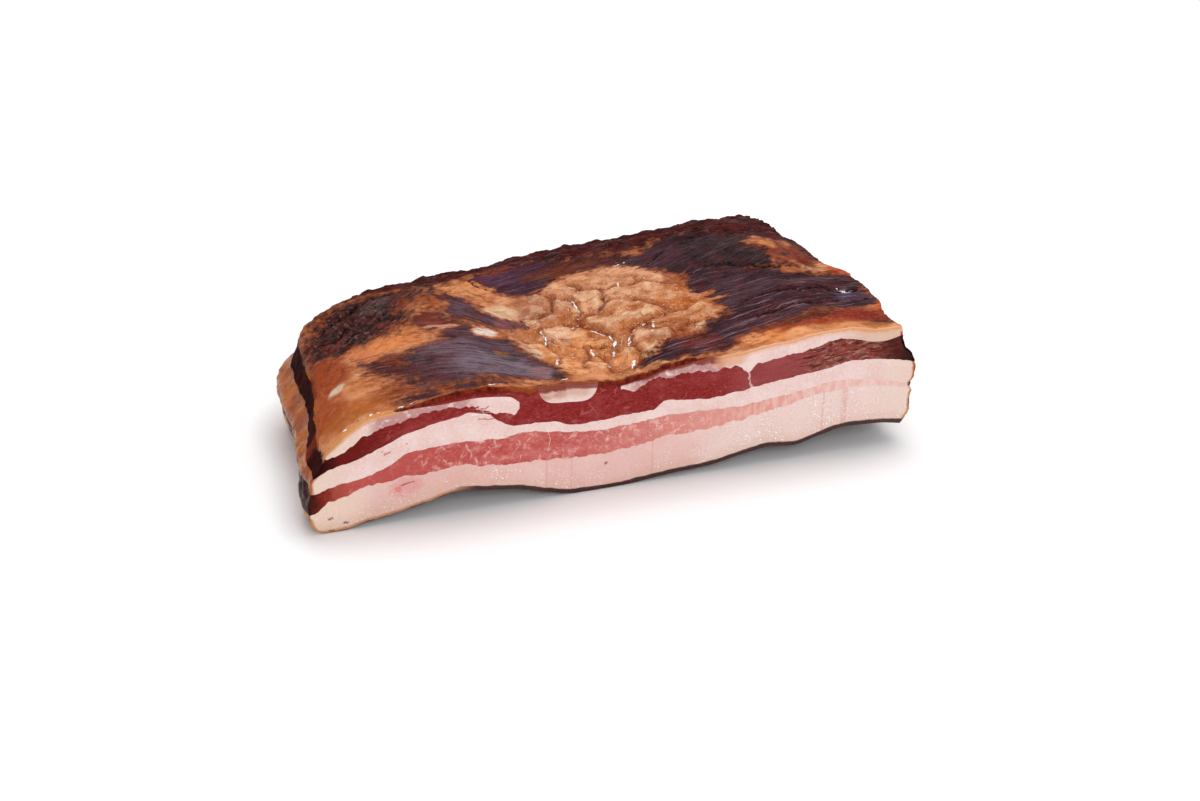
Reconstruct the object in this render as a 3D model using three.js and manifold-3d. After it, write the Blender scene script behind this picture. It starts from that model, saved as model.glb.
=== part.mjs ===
// A slab of smoked streaky bacon, cut across at the front and lying rind down.
// Millimetres. +X runs along the cut face from left to right, +Y to the smoked back edge, +Z up.
// Until the last step X and Y start at the cut face's lower left corner. The group then moves so
// that its origin is the middle of the slab's footprint, at the height of the board under it.
import * as THREE from "three";
import { mergeVertices } from "three/addons/utils/BufferGeometryUtils.js";
import Module from "manifold-3d";

const wasm = await Module();
wasm.setup();

// Driving dimensions
const LEFT_X = -6.5; // the widest place of the left end, beside the corner that the slab droops on
const RIGHT_X = 265.5;
const LEFT_DEPTH = 125; // front to back along the left end, which is cut off slantwise behind
const RIGHT_DEPTH = 156;
const BACK_LEFT_X = 30;
const BACK_RIGHT_X = 254;
const GAP = 0.3; // clear space between two layers

// Triangle budget: steps along the cut, from front to back, and up each layer
const STEPS_ALONG = 42;
const STEPS_DEEP = 8;
const STEPS_DEEP_TOP = 16;
const STEPS_UP = 3;

const { lerp, clamp, smoothstep, degToRad } = THREE.MathUtils;

// A smooth curve through [x, value] points that never swings past them.
function curve(points) {
  const last = points.length - 1;
  const secant = (i) => (points[i + 1][1] - points[i][1]) / (points[i + 1][0] - points[i][0]);
  const slopes = points.map((_, i) => {
    if (i === 0) return secant(0);
    if (i === last) return secant(last - 1);
    const before = secant(i - 1);
    const after = secant(i);
    return before * after > 0 ? (2 * before * after) / (before + after) : 0;
  });
  return (x) => {
    const at = clamp(x, points[0][0], points[last][0]);
    let i = 0;
    while (i < last - 1 && at > points[i + 1][0]) i++;
    const width = points[i + 1][0] - points[i][0];
    const t = (at - points[i][0]) / width;
    const rise = (3 - 2 * t) * t * t;
    const ease = t * (1 - t) * width;
    return lerp(points[i][1], points[i + 1][1], rise) + ease * ((1 - t) * slopes[i] - t * slopes[i + 1]);
  };
}

// The outline seen from above, at its widest height
const leftEdge = curve([
  [0, LEFT_X], [15, -6.3], [30, -4.4], [46, -1], [62, 0.2], [80, 0.6], [96, 2.5], [112, 13], [LEFT_DEPTH, BACK_LEFT_X],
]);
const rightEdge = curve([
  [0, RIGHT_X], [20, 264], [34, 266], [52, 263], [63, 264], [74, 258], [95, 259], [120, 256], [RIGHT_DEPTH, BACK_RIGHT_X],
]);
const backEdge = curve([
  [BACK_LEFT_X, LEFT_DEPTH], [48, 133], [75, 137], [110, 140], [123, 146], [150, 149], [185, 150], [215, 154],
  [BACK_RIGHT_X, RIGHT_DEPTH],
]);

// How far each side stands back from its widest place, from the underside, 0, to the top, 1.
// The fat layers bulge, the dried lean between them is sunk, and the top edge is drawn in.
const leftInsetFront = curve([
  [0, 6.5], [0.06, 3], [0.14, 1.2], [0.28, 0], [0.42, 0.2], [0.52, 1.5], [0.62, 1.5], [0.7, 2], [0.82, 5.4], [1, 9],
]);
const leftInsetBehind = curve([
  [0, 7], [0.1, 4], [0.25, 2.2], [0.42, 2], [0.5, 0.8], [0.58, 0], [0.65, 1], [0.72, 6], [0.85, 8.5], [1, 11],
]);
const rightInset = curve([
  [0, 4.5], [0.17, 1], [0.33, 1], [0.39, 2.1], [0.5, 0.2], [0.58, 0], [0.66, 0.8], [0.81, 6], [1, 8.5],
]);
const backInset = curve([[0, 5], [0.15, 0.8], [0.4, 0], [0.6, 0.6], [0.8, 2], [1, 6]]);
const RIGHT_INSET_BEHIND = 0.5; // the right end's insets are this much less behind the cut
const INSET_REACH = 0.25; // the insets fade out over this share of the slab's length or depth

// The rind's underside: it rests on the left corner, in the middle and at the back, and arches between.
const undersideFront = curve([
  [0, 0], [9, 0], [17, 2], [30, 4], [45, 7.3], [58, 9.9], [70, 8.2], [84, 6.2], [96, 2.8], [104, 0.8], [110, 0],
  [127, 0], [150, 1.9], [170, 3.2], [186, 6.2], [196, 7.5], [208, 6.3], [220, 9], [233, 11.6], [248, 10.8], [262, 8.6],
]);
const undersideBack = curve([[0, 0], [20, 0], [60, 3], [100, 0], [140, 0], [165, 2], [190, 0], [240, 0], [262, 2]]);
const ARCH_REACH = 95; // the arch seen at the cut has died away this far behind it

// The top edge of the cut, and the height of the top over the back
const topFront = curve([
  [2, 35.5], [8, 40.5], [15, 45.8], [22, 49.3], [30, 50.8], [40, 53], [52, 55], [66, 56.3], [78, 55.4], [90, 53],
  [103, 53.2], [115, 51.6], [127, 50.8], [138, 52], [148, 54.8], [162, 55.8], [175, 55.5], [190, 56.8], [205, 58],
  [220, 60], [232, 59.8], [245, 57.3], [257, 57],
]);
const topBack = curve([[0, 39], [18, 44], [45, 48], [90, 50], [140, 51], [190, 52], [235, 53], [257, 51]]);
const BACK_ROUNDING = 22; // the top rolls over towards the back edge across this depth
const BACK_DROP = 9;

// Muscles and hollows of the top: middle, half sizes, turn and height
const TOP_FORMS = [
  { at: [72, 36], size: [30, 26], turn: 0, rise: 1.5 }, // the dark muscle on the left
  { at: [88, 80], size: [26, 8], turn: -50, rise: 1.8 }, // a strand running back from it
  { at: [118, 46], size: [24, 30], turn: 0, rise: -3.5 }, // the fat sunk in the middle
  { at: [150, 78], size: [24, 20], turn: 0, rise: 1.5 },
  { at: [205, 90], size: [42, 32], turn: 10, rise: 4.5 }, // the large muscle at the back right
  { at: [205, 40], size: [58, 9], turn: 16, rise: 4 }, // the band in front of it
  { at: [220, 62], size: [45, 7], turn: 4, rise: -2.2 }, // the groove between the two
  { at: [185, 128], size: [70, 9], turn: 6, rise: 1.5 }, // the ridge along the back edge
  { at: [40, 88], size: [20, 16], turn: 30, rise: -1.5 },
];

function topForms(x, y) {
  return TOP_FORMS.reduce((sum, { at, size, turn, rise }) => {
    const angle = degToRad(turn);
    const along = (x - at[0]) * Math.cos(angle) + (y - at[1]) * Math.sin(angle);
    const across = (y - at[1]) * Math.cos(angle) - (x - at[0]) * Math.sin(angle);
    return sum + rise * Math.exp(-((along / size[0]) ** 2) - (across / size[1]) ** 2);
  }, 0);
}

function quarterRound(distance, radius, drop) {
  const inwards = clamp(1 - distance / radius, 0, 1);
  return drop * (1 - Math.sqrt(1 - inwards * inwards));
}

// Heights of the underside and the top at a place seen from above
function underside(x, y) {
  const arch = lerp(undersideFront(x), undersideBack(x), smoothstep(y, 0, ARCH_REACH));
  return Math.max(0, arch);
}

function top(x, y) {
  const depth = backEdge(x);
  const height = lerp(topFront(x), topBack(x), smoothstep(y, 0, depth));
  const awayFromCut = smoothstep(y, 0, 12);
  return height + topForms(x, y) * awayFromCut - quarterRound(depth - y, BACK_ROUNDING, BACK_DROP);
}

// A place in the slab: u from left to right, v from front to back, w from the underside to the top
function place(u, v, w) {
  const front = [lerp(LEFT_X, RIGHT_X, u), 0];
  const backX = lerp(BACK_LEFT_X, BACK_RIGHT_X, u);
  const back = [backX, backEdge(backX)];
  const left = [leftEdge(v * LEFT_DEPTH), v * LEFT_DEPTH];
  const right = [rightEdge(v * RIGHT_DEPTH), v * RIGHT_DEPTH];
  const corners = [
    [LEFT_X, 0, (1 - u) * (1 - v)], [RIGHT_X, 0, u * (1 - v)],
    [BACK_LEFT_X, LEFT_DEPTH, (1 - u) * v], [BACK_RIGHT_X, RIGHT_DEPTH, u * v],
  ];
  const [x0, y0] = [0, 1].map((axis) => {
    const edges = lerp(front[axis], back[axis], v) + lerp(left[axis], right[axis], u);
    return edges - corners.reduce((sum, corner) => sum + corner[axis] * corner[2], 0);
  });
  const fade = (t) => Math.max(0, 1 - t / INSET_REACH) ** 2;
  const behind = smoothstep(v, 0, 0.4);
  const leftInset = lerp(leftInsetFront(w), leftInsetBehind(w), behind);
  const x = x0 + leftInset * fade(u) - rightInset(w) * lerp(1, RIGHT_INSET_BEHIND, behind) * fade(1 - u);
  const y = y0 - backInset(w) * fade(1 - v);
  const low = underside(x, y);
  return new THREE.Vector3(x, y, lerp(low, top(x, y), w));
}

// The three boundaries between the layers, as drawn on the cut, and their heights at the back
const BOUNDARIES = {
  backFatTop: {
    cut: curve([
      [-5, 9], [0, 11.5], [4, 14], [10, 15.5], [16, 18], [25, 19.5], [40, 20.5], [60, 21.5], [75, 19.2], [90, 18.3],
      [103, 17.6], [116, 17], [126, 17.2], [138, 19], [150, 20.5], [170, 21.2], [182, 23], [195, 25], [208, 27.2],
      [222, 30], [236, 30.6], [250, 29.2], [265, 26.3],
    ]),
    back: 0.27,
  },
  lowerLeanTop: {
    cut: curve([
      [-5, 18.5], [2, 19.8], [8, 21.5], [18, 22.8], [28, 26.5], [40, 31.8], [55, 32.4], [70, 32], [76, 31.3],
      [85, 32.8], [100, 30.7], [120, 28.3], [132, 29], [142, 30], [158, 30.4], [180, 29.6], [200, 31.4], [212, 32.8],
      [226, 35], [238, 33.9], [250, 31.7], [265, 28.3],
    ]),
    back: 0.46,
  },
  middleFatTop: {
    cut: curve([
      [-5, 25], [5, 29.2], [16, 31.8], [28, 36.8], [40, 41], [50, 43.4], [57, 44], [63, 45.4], [69, 44.2], [75, 40],
      [82, 36.6], [97, 35.9], [110, 32.6], [121, 33], [135, 34], [143, 34.3], [148, 37.4], [157, 36.8], [168, 35.5],
      [186, 37.4], [205, 39.7], [220, 41], [233, 43.4], [245, 42.5], [257, 40.6], [266, 38.2],
    ]),
    back: 0.64,
  },
};
const CUT_REACH = 0.7; // the cut's pattern has faded into the even layers of the back at this share of the depth

// The share of the slab's height at which a boundary lies
function level(boundary, u, v) {
  let w = 0.5;
  for (let tries = 0; tries < 6; tries++) {
    const { x } = place(u, 0, w);
    const low = underside(x, 0);
    w = clamp((boundary.cut(x) - low) / (top(x, 0) - low), 0.02, 0.98);
  }
  return lerp(w, boundary.back, smoothstep(v, 0, CUT_REACH));
}

// A box whose inside coordinates, each from 0 to 1, are moved by a function to their real places.
// The squares of its underside are split along the same diagonals as those of its top, so that
// two layers that face each other keep the same distance all over.
function warpedBox(steps, move) {
  const geometry = new THREE.BoxGeometry(1, 1, 1, ...steps);
  const underside = geometry.groups[5];
  const index = geometry.index.array;
  for (let i = underside.start; i < underside.start + underside.count; i += 6) {
    const [a, b, d, , c] = index.slice(i, i + 6);
    index.set([a, b, c, a, c, d], i);
  }
  return warped(geometry, ([x, y, z]) => move(x + 0.5, y + 0.5, z + 0.5));
}

function warped(geometry, move) {
  const position = geometry.attributes.position;
  for (let i = 0; i < position.count; i++) {
    const moved = move([position.getX(i), position.getY(i), position.getZ(i)]);
    position.setXYZ(i, moved.x, moved.y, moved.z);
  }
  return solid(geometry);
}

function solid(geometry) {
  geometry.deleteAttribute("normal");
  geometry.deleteAttribute("uv");
  const merged = mergeVertices(geometry, 1e-4);
  return new wasm.Manifold(
    new wasm.Mesh({
      numProp: 3,
      vertProperties: new Float32Array(merged.attributes.position.array),
      triVerts: new Uint32Array(merged.index.array),
    }),
  );
}

// One layer between two boundaries, half a gap clear of each; no lower boundary means the underside
function layer(lower, upper) {
  return warpedBox([STEPS_ALONG, STEPS_DEEP, STEPS_UP], (u, v, t) => {
    const from = lower ? level(lower, u, v) : 0;
    const at = place(u, v, lerp(from, level(upper, u, v), t));
    at.z += lerp(lower ? GAP / 2 : 0, -GAP / 2, t);
    return at;
  });
}

// All that lies above a boundary. It has more steps than the layer under it, for the form of the
// top, so it starts lower down and is trimmed by a block whose top has that layer's own steps.
const TRIMMED = 0.1; // as a share of the slab's height
const TRIM_BELOW = 9;
const TRIM_OUTWARDS = 8;

function allAbove(boundary) {
  const whole = warpedBox([STEPS_ALONG, STEPS_DEEP_TOP, STEPS_UP], (u, v, t) =>
    place(u, v, lerp(level(boundary, u, v) - TRIMMED, 1, t)),
  );
  const steps = [STEPS_ALONG, STEPS_DEEP];
  const trim = warpedBox([...steps.map((count) => count + 2), 1], (a, b, t) => {
    const [u, v] = [a, b].map((share, i) => (share * (steps[i] + 2) - 1) / steps[i]);
    const [inU, inV] = [clamp(u, 0, 1), clamp(v, 0, 1)];
    const at = place(inU, inV, level(boundary, inU, inV));
    const outwards = new THREE.Vector3(Math.sign(u - inU), Math.sign(v - inV), 0);
    at.addScaledVector(outwards, TRIM_OUTWARDS);
    at.z += GAP / 2 - (1 - t) * TRIM_BELOW;
    return at;
  });
  return whole.subtract(trim);
}

// Fat that lies in the top of the upper lean. Each piece is held between two depths below the top;
// a depth under 0 is out in the air, so that the fat shows on the surface there.
const IN_THE_AIR = -4;
const BEFORE_THE_CUT = -4;

// The fat over the left end, with a tongue that runs to the right inside the lean
const leftFatFloor = curve([
  [-6, 2], [2, 2.1], [8, 5.1], [20, 6.2], [30, 5.2], [45, 5.2], [55, 5.9], [62, 7.5], [70, 10.2], [77, 12.2], [81, 12.8],
  [84, 9.5],
]);
const leftFatCover = curve([[20, IN_THE_AIR], [28, -0.8], [32, 0.6], [40, 1.9], [52, 3.9], [66, 4.6], [80, 5.1], [84, 7]]);
const leftFatReach = curve([[BEFORE_THE_CUT, 84.5], [4, 83], [12, 66], [25, 54], [45, 52], [62, 60], [78, 40]]);
const LEFT_FAT_DEPTH = 78;

function leftFat(grow) {
  return warpedBox([24, 8, 2], (p, q, t) => {
    const y = lerp(BEFORE_THE_CUT, LEFT_FAT_DEPTH + grow, q);
    const x = lerp(LEFT_X - 5, leftFatReach(y) + grow, p);
    const behind = clamp(y, 0, LEFT_FAT_DEPTH) / LEFT_FAT_DEPTH;
    const end = 1 - 0.85 * smoothstep(x, leftFatReach(y) - 12, leftFatReach(y)) * smoothstep(y, 2, 14);
    const floor = leftFatFloor(x) * (1 - behind ** 3) * end + 0.4;
    const cover = lerp(leftFatCover(x), IN_THE_AIR, smoothstep(y, 4, 16));
    return new THREE.Vector3(x, y, top(x, Math.max(y, 0)) - lerp(floor + grow, cover - grow, t));
  });
}

// The fat over the right end, a strip along the cut that starts as a thin line inside the lean
const RIGHT_FAT_START = 128;
const rightFatFloor = curve([
  [128, 4.2], [134, 6.2], [142, 4.4], [150, 5.8], [162, 6.2], [170, 6.8], [180, 6], [185.5, 10.4], [190, 7.6],
  [200, 6.9], [213, 7.2], [222, 5.6], [230, 4.8], [238, 5.9], [248, 6.2], [258, 4.2],
]);
const rightFatCover = curve([[128, 3.2], [137, 2.6], [150, 2.6], [164, 1.4], [172, -1], [180, IN_THE_AIR]]);
const rightFatDepth = curve([[128, 5], [168, 9], [190, 21], [208, 33], [240, 37], [272, 36]]);

function rightFat(grow) {
  return warpedBox([28, 5, 2], (p, q, t) => {
    const x = lerp(RIGHT_FAT_START - grow, RIGHT_X + 5, p);
    const deep = rightFatDepth(x) + grow;
    const y = lerp(BEFORE_THE_CUT, deep, q);
    const behind = clamp(y / deep, 0, 1);
    const floor = rightFatFloor(x) * (1 - behind ** 3) + 0.5;
    const cover = rightFatCover(x);
    return new THREE.Vector3(x, y, top(x, Math.max(y, 0)) - lerp(floor + grow, cover - grow, t));
  });
}

// The round of sunken fat in the middle of the top, and the lobe in which it ends at the cut.
// The round's edge is given as distances from its middle, one every 30 degrees from +X towards +Y.
const ROUND_AT = [138, 50];
const ROUND_EDGE = [46, 54, 56, 51, 48, 44, 41, 46, 50, 47, 27, 26];
const ROUND_FLOOR = 8.5;
const ROUND_FRONT = 3; // the round ends this far behind the cut
const LOBE_AT = [105, 5];
const LOBE_SIZE = [13.5, 17];
const LOBE_FLOOR = 9.3;

// A bowl of fat under the top, with its edge at a given distance in each direction from its middle
function bowl([midX, midY], edge, floor, frontLimit) {
  return warped(new THREE.SphereGeometry(1, 30, 10), ([px, pz, py]) => {
    const out = Math.hypot(px, py) || 1;
    const far = edge(Math.atan2(-py, px)) * Math.sqrt(Math.hypot(px, py));
    const x = midX + (px / out) * far;
    const y = Math.max(midY - (py / out) * far, frontLimit);
    const depth = pz > 0 ? IN_THE_AIR * pz : -pz * floor;
    return new THREE.Vector3(x, y, top(x, Math.max(y, 0)) - depth);
  });
}

function middleFat(grow) {
  const turns = ROUND_EDGE.length;
  const roundEdge = (angle) => {
    const at = ((angle / (2 * Math.PI)) * turns + turns) % turns;
    const before = Math.floor(at) % turns;
    return lerp(ROUND_EDGE[before], ROUND_EDGE[(before + 1) % turns], smoothstep(at % 1, 0, 1)) + grow;
  };
  const lobeEdge = (angle) => grow + 1 / Math.hypot(Math.cos(angle) / LOBE_SIZE[0], Math.sin(angle) / LOBE_SIZE[1]);
  const round = bowl(ROUND_AT, roundEdge, ROUND_FLOOR + grow, ROUND_FRONT - grow);
  return round.add(bowl(LOBE_AT, lobeEdge, LOBE_FLOOR + grow, BEFORE_THE_CUT));
}

// A boolean cut can leave a loose scrap thinner than the gap: only the body itself is kept.
function largestBody(made) {
  return made.decompose().reduce((a, b) => (a.volume() > b.volume() ? a : b));
}

const { backFatTop, lowerLeanTop, middleFatTop } = BOUNDARIES;
const upperPart = allAbove(middleFatTop);
const topFats = { top_fat_left: leftFat, top_fat_middle: middleFat, top_fat_right: rightFat };
let upperLean = upperPart;
for (const fat of Object.values(topFats)) upperLean = upperLean.subtract(fat(GAP));

// Colours of the cut faces
const BACK_FAT = { color: 0xecd2c4, roughness: 0.45 };
const MARBLED_LEAN = { color: 0xbd605c, roughness: 0.5 };
const SOFT_FAT = { color: 0xeed6cd, roughness: 0.42 };
const DARK_LEAN = { color: 0x6e2a30, roughness: 0.5 };
const SMOKED_FAT = { color: 0xc08050, roughness: 0.38 };

function piece(name, made, material) {
  const { vertProperties, numProp, triVerts } = largestBody(made).getMesh();
  const points = new Float32Array((vertProperties.length / numProp) * 3);
  for (let i = 0; i * numProp < vertProperties.length; i++)
    points.set(vertProperties.subarray(i * numProp, i * numProp + 3), i * 3);
  const geometry = new THREE.BufferGeometry();
  geometry.setAttribute("position", new THREE.BufferAttribute(points, 3));
  geometry.setIndex(new THREE.BufferAttribute(triVerts, 1));
  geometry.computeVertexNormals();
  const mesh = new THREE.Mesh(geometry, new THREE.MeshStandardMaterial({ metalness: 0, ...material }));
  mesh.name = name;
  return mesh;
}

const slab = new THREE.Group();
slab.add(
  piece("back_fat", layer(null, backFatTop), BACK_FAT),
  piece("lower_lean", layer(backFatTop, lowerLeanTop), MARBLED_LEAN),
  piece("middle_fat", layer(lowerLeanTop, middleFatTop), SOFT_FAT),
  piece("upper_lean", upperLean, DARK_LEAN),
);
for (const [name, fat] of Object.entries(topFats)) slab.add(piece(name, fat(0).intersect(upperPart), SMOKED_FAT));

// Origin: the middle of the footprint, on the board
const box = new THREE.Box3().setFromObject(slab, true);
const middle = box.getCenter(new THREE.Vector3());
for (const mesh of slab.children) mesh.position.set(-middle.x, -middle.y, -box.min.z);

export default slab;
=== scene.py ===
"""The looks of a slab of smoked streaky bacon, cut across at the front and lying rind down.

The slab's form is worked out in millimetres from the lower left corner of the cut: x runs along the
cut, y to the smoked back edge and z up. Every mesh is then moved into the frame, in metres.
"""

import math

import bpy
import numpy as np
from mathutils import Matrix, Vector, noise
from mathutils.geometry import delaunay_2d_cdt


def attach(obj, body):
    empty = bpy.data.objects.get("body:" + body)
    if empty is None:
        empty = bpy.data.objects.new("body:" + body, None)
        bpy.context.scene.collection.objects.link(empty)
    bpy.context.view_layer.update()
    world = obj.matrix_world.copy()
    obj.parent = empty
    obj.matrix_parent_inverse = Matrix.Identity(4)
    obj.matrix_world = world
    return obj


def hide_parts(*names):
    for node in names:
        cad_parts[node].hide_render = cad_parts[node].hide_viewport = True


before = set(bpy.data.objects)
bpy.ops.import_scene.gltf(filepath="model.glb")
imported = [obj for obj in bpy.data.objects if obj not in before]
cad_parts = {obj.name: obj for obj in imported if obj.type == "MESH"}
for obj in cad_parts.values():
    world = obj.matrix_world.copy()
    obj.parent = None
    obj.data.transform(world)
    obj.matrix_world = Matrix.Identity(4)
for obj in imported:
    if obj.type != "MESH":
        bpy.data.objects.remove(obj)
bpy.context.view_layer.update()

MM = 0.001
MIDDLE = np.array([129.504, 78.0, 0.0])  # the frame's origin, seen from the cut's lower left corner
SPACING = 0.66  # between the points of the visible surfaces

# The driving sizes of the slab, as in its solids
LEFT_X, RIGHT_X = -6.5, 265.5
LEFT_DEPTH, RIGHT_DEPTH = 125, 156
BACK_LEFT_X, BACK_RIGHT_X = 30, 254


# Numbers and curves

def lerp(a, b, t):
    return a + (b - a) * t


def smooth(x, low, high):
    """0 below low, 1 above high and an even turn between them."""
    t = np.clip((x - low) / (high - low), 0, 1)
    return t * t * (3 - 2 * t)


def curve(*points):
    """A smooth curve through (x, value) points that never swings past them."""
    xs, values = np.array(points, float).T
    secants = np.diff(values) / np.diff(xs)
    before, after = secants[:-1], secants[1:]
    turns = before * after <= 0
    inner = np.where(turns, 0, 2 * before * after / np.where(turns, 1, before + after))
    slopes = np.concatenate([secants[:1], inner, secants[-1:]])

    def at(x):
        x = np.clip(x, xs[0], xs[-1])
        i = np.clip(np.searchsorted(xs, x, "right") - 1, 0, len(xs) - 2)
        width = xs[i + 1] - xs[i]
        t = (x - xs[i]) / width
        ease = t * (1 - t) * width
        bend = ease * ((1 - t) * slopes[i] - t * slopes[i + 1])
        return lerp(values[i], values[i + 1], (3 - 2 * t) * t * t) + bend

    return at


def rough(points, size, seed=0, octaves=4):
    """Fractal noise, mostly from -0.7 to 0.7, with lumps of the given size, or size along each axis."""
    places = np.atleast_2d(points) / np.asarray(size, float) + 31.7 * seed
    if places.shape[1] == 2:
        places = np.column_stack([places, np.full(len(places), 0.37)])
    return np.fromiter((noise.fractal(p, 1.0, 2.0, octaves) for p in places.tolist()), float, len(places))


def offsets(at, lines):
    """The way from the nearest point of any of the lines to each place."""
    nearest = np.full((len(at), 2), 1e3)
    for line in lines:
        corners = np.array(line, float)
        for a, b in zip(corners[:-1], corners[1:]):
            along = np.clip(((at - a) @ (b - a)) / ((b - a) @ (b - a)), 0, 1)
            apart = at - a - along[:, None] * (b - a)
            closer = np.hypot(*apart.T) < np.hypot(*nearest.T)
            nearest[closer] = apart[closer]
    return nearest


def distance_to(at, lines):
    return np.hypot(*offsets(at, lines).T)


def within(at, outline):
    """The distance to a closed outline, above 0 inside it."""
    closed = [*outline, outline[0]]
    inside = np.zeros(len(at), bool)
    x, y = at.T
    for (ax, ay), (bx, by) in zip(closed[:-1], closed[1:]):
        if ay != by:
            inside ^= ((ay > y) != (by > y)) & (x < (bx - ax) * (y - ay) / (by - ay) + ax)
    distance = distance_to(at, [closed])
    return np.where(inside, distance, -distance)


def turned(at, middle, degrees):
    """Places seen from a middle, along and across a direction."""
    angle = math.radians(degrees)
    dx, dy = at[:, 0] - middle[0], at[:, 1] - middle[1]
    return dx * math.cos(angle) + dy * math.sin(angle), dy * math.cos(angle) - dx * math.sin(angle)


def spot(at, middle, size, degrees=0):
    """1 in the middle of an oval spot, fading out past its edge."""
    along, across = turned(at, middle, degrees)
    return smooth(np.hypot(along / size[0], across / size[1]), 1.35, 0.65)


# The slab's form

left_edge = curve(
    (0, LEFT_X), (15, -6.3), (30, -4.4), (46, -1), (62, 0.2), (80, 0.6), (96, 2.5), (112, 13),
    (LEFT_DEPTH, BACK_LEFT_X),
)
right_edge = curve(
    (0, RIGHT_X), (20, 264), (34, 266), (52, 263), (63, 264), (74, 258), (95, 259), (120, 256),
    (RIGHT_DEPTH, BACK_RIGHT_X),
)
back_edge = curve(
    (BACK_LEFT_X, LEFT_DEPTH), (48, 133), (75, 137), (110, 140), (123, 146), (150, 149), (185, 150),
    (215, 154), (BACK_RIGHT_X, RIGHT_DEPTH),
)
left_inset_front = curve(
    (0, 6.5), (0.06, 3), (0.14, 1.2), (0.28, 0), (0.42, 0.2), (0.52, 1.5), (0.62, 1.5), (0.7, 2),
    (0.82, 5.4), (1, 9),
)
left_inset_behind = curve(
    (0, 7), (0.1, 4), (0.25, 2.2), (0.42, 2), (0.5, 0.8), (0.58, 0), (0.65, 1), (0.72, 6), (0.85, 8.5),
    (1, 11),
)
right_inset = curve(
    (0, 4.5), (0.17, 1), (0.33, 1), (0.39, 2.1), (0.5, 0.2), (0.58, 0), (0.66, 0.8), (0.81, 6), (1, 8.5)
)
back_inset = curve((0, 5), (0.15, 0.8), (0.4, 0), (0.6, 0.6), (0.8, 2), (1, 6))
RIGHT_INSET_BEHIND = 0.5
INSET_REACH = 0.25
FRONT_REACH = 0.4

underside_front = curve(
    (0, 0), (9, 0), (17, 2), (30, 4), (45, 7.3), (58, 9.9), (70, 8.2), (84, 6.2), (96, 2.8), (104, 0.8),
    (110, 0), (127, 0), (150, 1.9), (170, 3.2), (186, 6.2), (196, 7.5), (208, 6.3), (220, 9), (233, 11.6),
    (248, 10.8), (262, 8.6),
)
underside_back = curve((0, 0), (20, 0), (60, 3), (100, 0), (140, 0), (165, 2), (190, 0), (240, 0), (262, 2))
ARCH_REACH = 95

top_front = curve(
    (2, 35.5), (8, 40.5), (15, 45.8), (22, 49.3), (30, 50.8), (40, 53), (52, 55), (66, 56.3), (78, 55.4),
    (90, 53), (103, 53.2), (115, 51.6), (127, 50.8), (138, 52), (148, 54.8), (162, 55.8), (175, 55.5),
    (190, 56.8), (205, 58), (220, 60), (232, 59.8), (245, 57.3), (257, 57),
)
top_back = curve((0, 39), (18, 44), (45, 48), (90, 50), (140, 51), (190, 52), (235, 53), (257, 51))
BACK_ROUNDING, BACK_DROP = 22, 9

# Muscles and hollows of the top: middle, half sizes, turn and height
TOP_FORMS = [
    ((72, 36), (30, 26), 0, 1.5),
    ((88, 80), (26, 8), -50, 1.8),
    ((118, 46), (24, 30), 0, -3.5),
    ((150, 78), (24, 20), 0, 1.5),
    ((205, 90), (42, 32), 10, 4.5),
    ((205, 40), (58, 9), 16, 4),
    ((220, 62), (45, 7), 4, -2.2),
    ((185, 128), (70, 9), 6, 1.5),
    ((40, 88), (20, 16), 30, -1.5),
]


def quarter_round(distance, radius, drop):
    inwards = np.clip(1 - distance / radius, 0, 1)
    return drop * (1 - np.sqrt(1 - inwards * inwards))


def underside(x, y):
    return np.maximum(0, lerp(underside_front(x), underside_back(x), smooth(y, 0, ARCH_REACH)))


def top_form(x, y):
    """The height of the top, without its fine relief."""
    depth = back_edge(x)
    height = lerp(top_front(x), top_back(x), smooth(y / depth, 0, 1))
    at = np.column_stack([np.ravel(x), np.ravel(y)])
    forms = 0
    for middle, size, turn, rise in TOP_FORMS:
        along, across = turned(at, middle, turn)
        forms = forms + rise * np.exp(-((along / size[0]) ** 2) - (across / size[1]) ** 2)
    forms = np.reshape(forms, np.shape(x)) * smooth(y, 0, 12)
    return height + forms - quarter_round(depth - y, BACK_ROUNDING, BACK_DROP)


# Maps of the top, seen from above: every value is worked out once on an even grid and read from it
MAP_STEP = 0.5
MAP_X = np.arange(LEFT_X - 6, RIGHT_X + 6, MAP_STEP)
MAP_Y = np.arange(-3, RIGHT_DEPTH + 4, MAP_STEP)
MAP_AT = np.stack(np.meshgrid(MAP_X, MAP_Y, indexing="ij"), -1).reshape(-1, 2)
MAP_SHAPE = (len(MAP_X), len(MAP_Y))


def read(values, x, y):
    """A map's values at places between its grid's points."""
    values = values.reshape(*MAP_SHAPE, -1)
    fx = np.clip((x - MAP_X[0]) / MAP_STEP, 0, MAP_SHAPE[0] - 1.001)
    fy = np.clip((y - MAP_Y[0]) / MAP_STEP, 0, MAP_SHAPE[1] - 1.001)
    ix, iy = fx.astype(int), fy.astype(int)
    tx, ty = (fx - ix)[:, None], (fy - iy)[:, None]
    near = lerp(values[ix, iy], values[ix, iy + 1], ty)
    far = lerp(values[ix + 1, iy], values[ix + 1, iy + 1], ty)
    return lerp(near, far, tx)


# What the scene's lights add to every surface as gloss, and the least share of a colour that is left
VEIL = 0.03
LEAST_SHARE = 0.3


def colour(tone):
    """The linear colour of a surface that is to look like a tone, from 0 to 255, in the scene's light."""
    share = np.array(tone) / 255
    linear = np.where(share <= 0.04045, share / 12.92, ((share + 0.055) / 1.055) ** 2.4)
    return np.maximum(linear - VEIL, linear * LEAST_SHARE)


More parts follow.
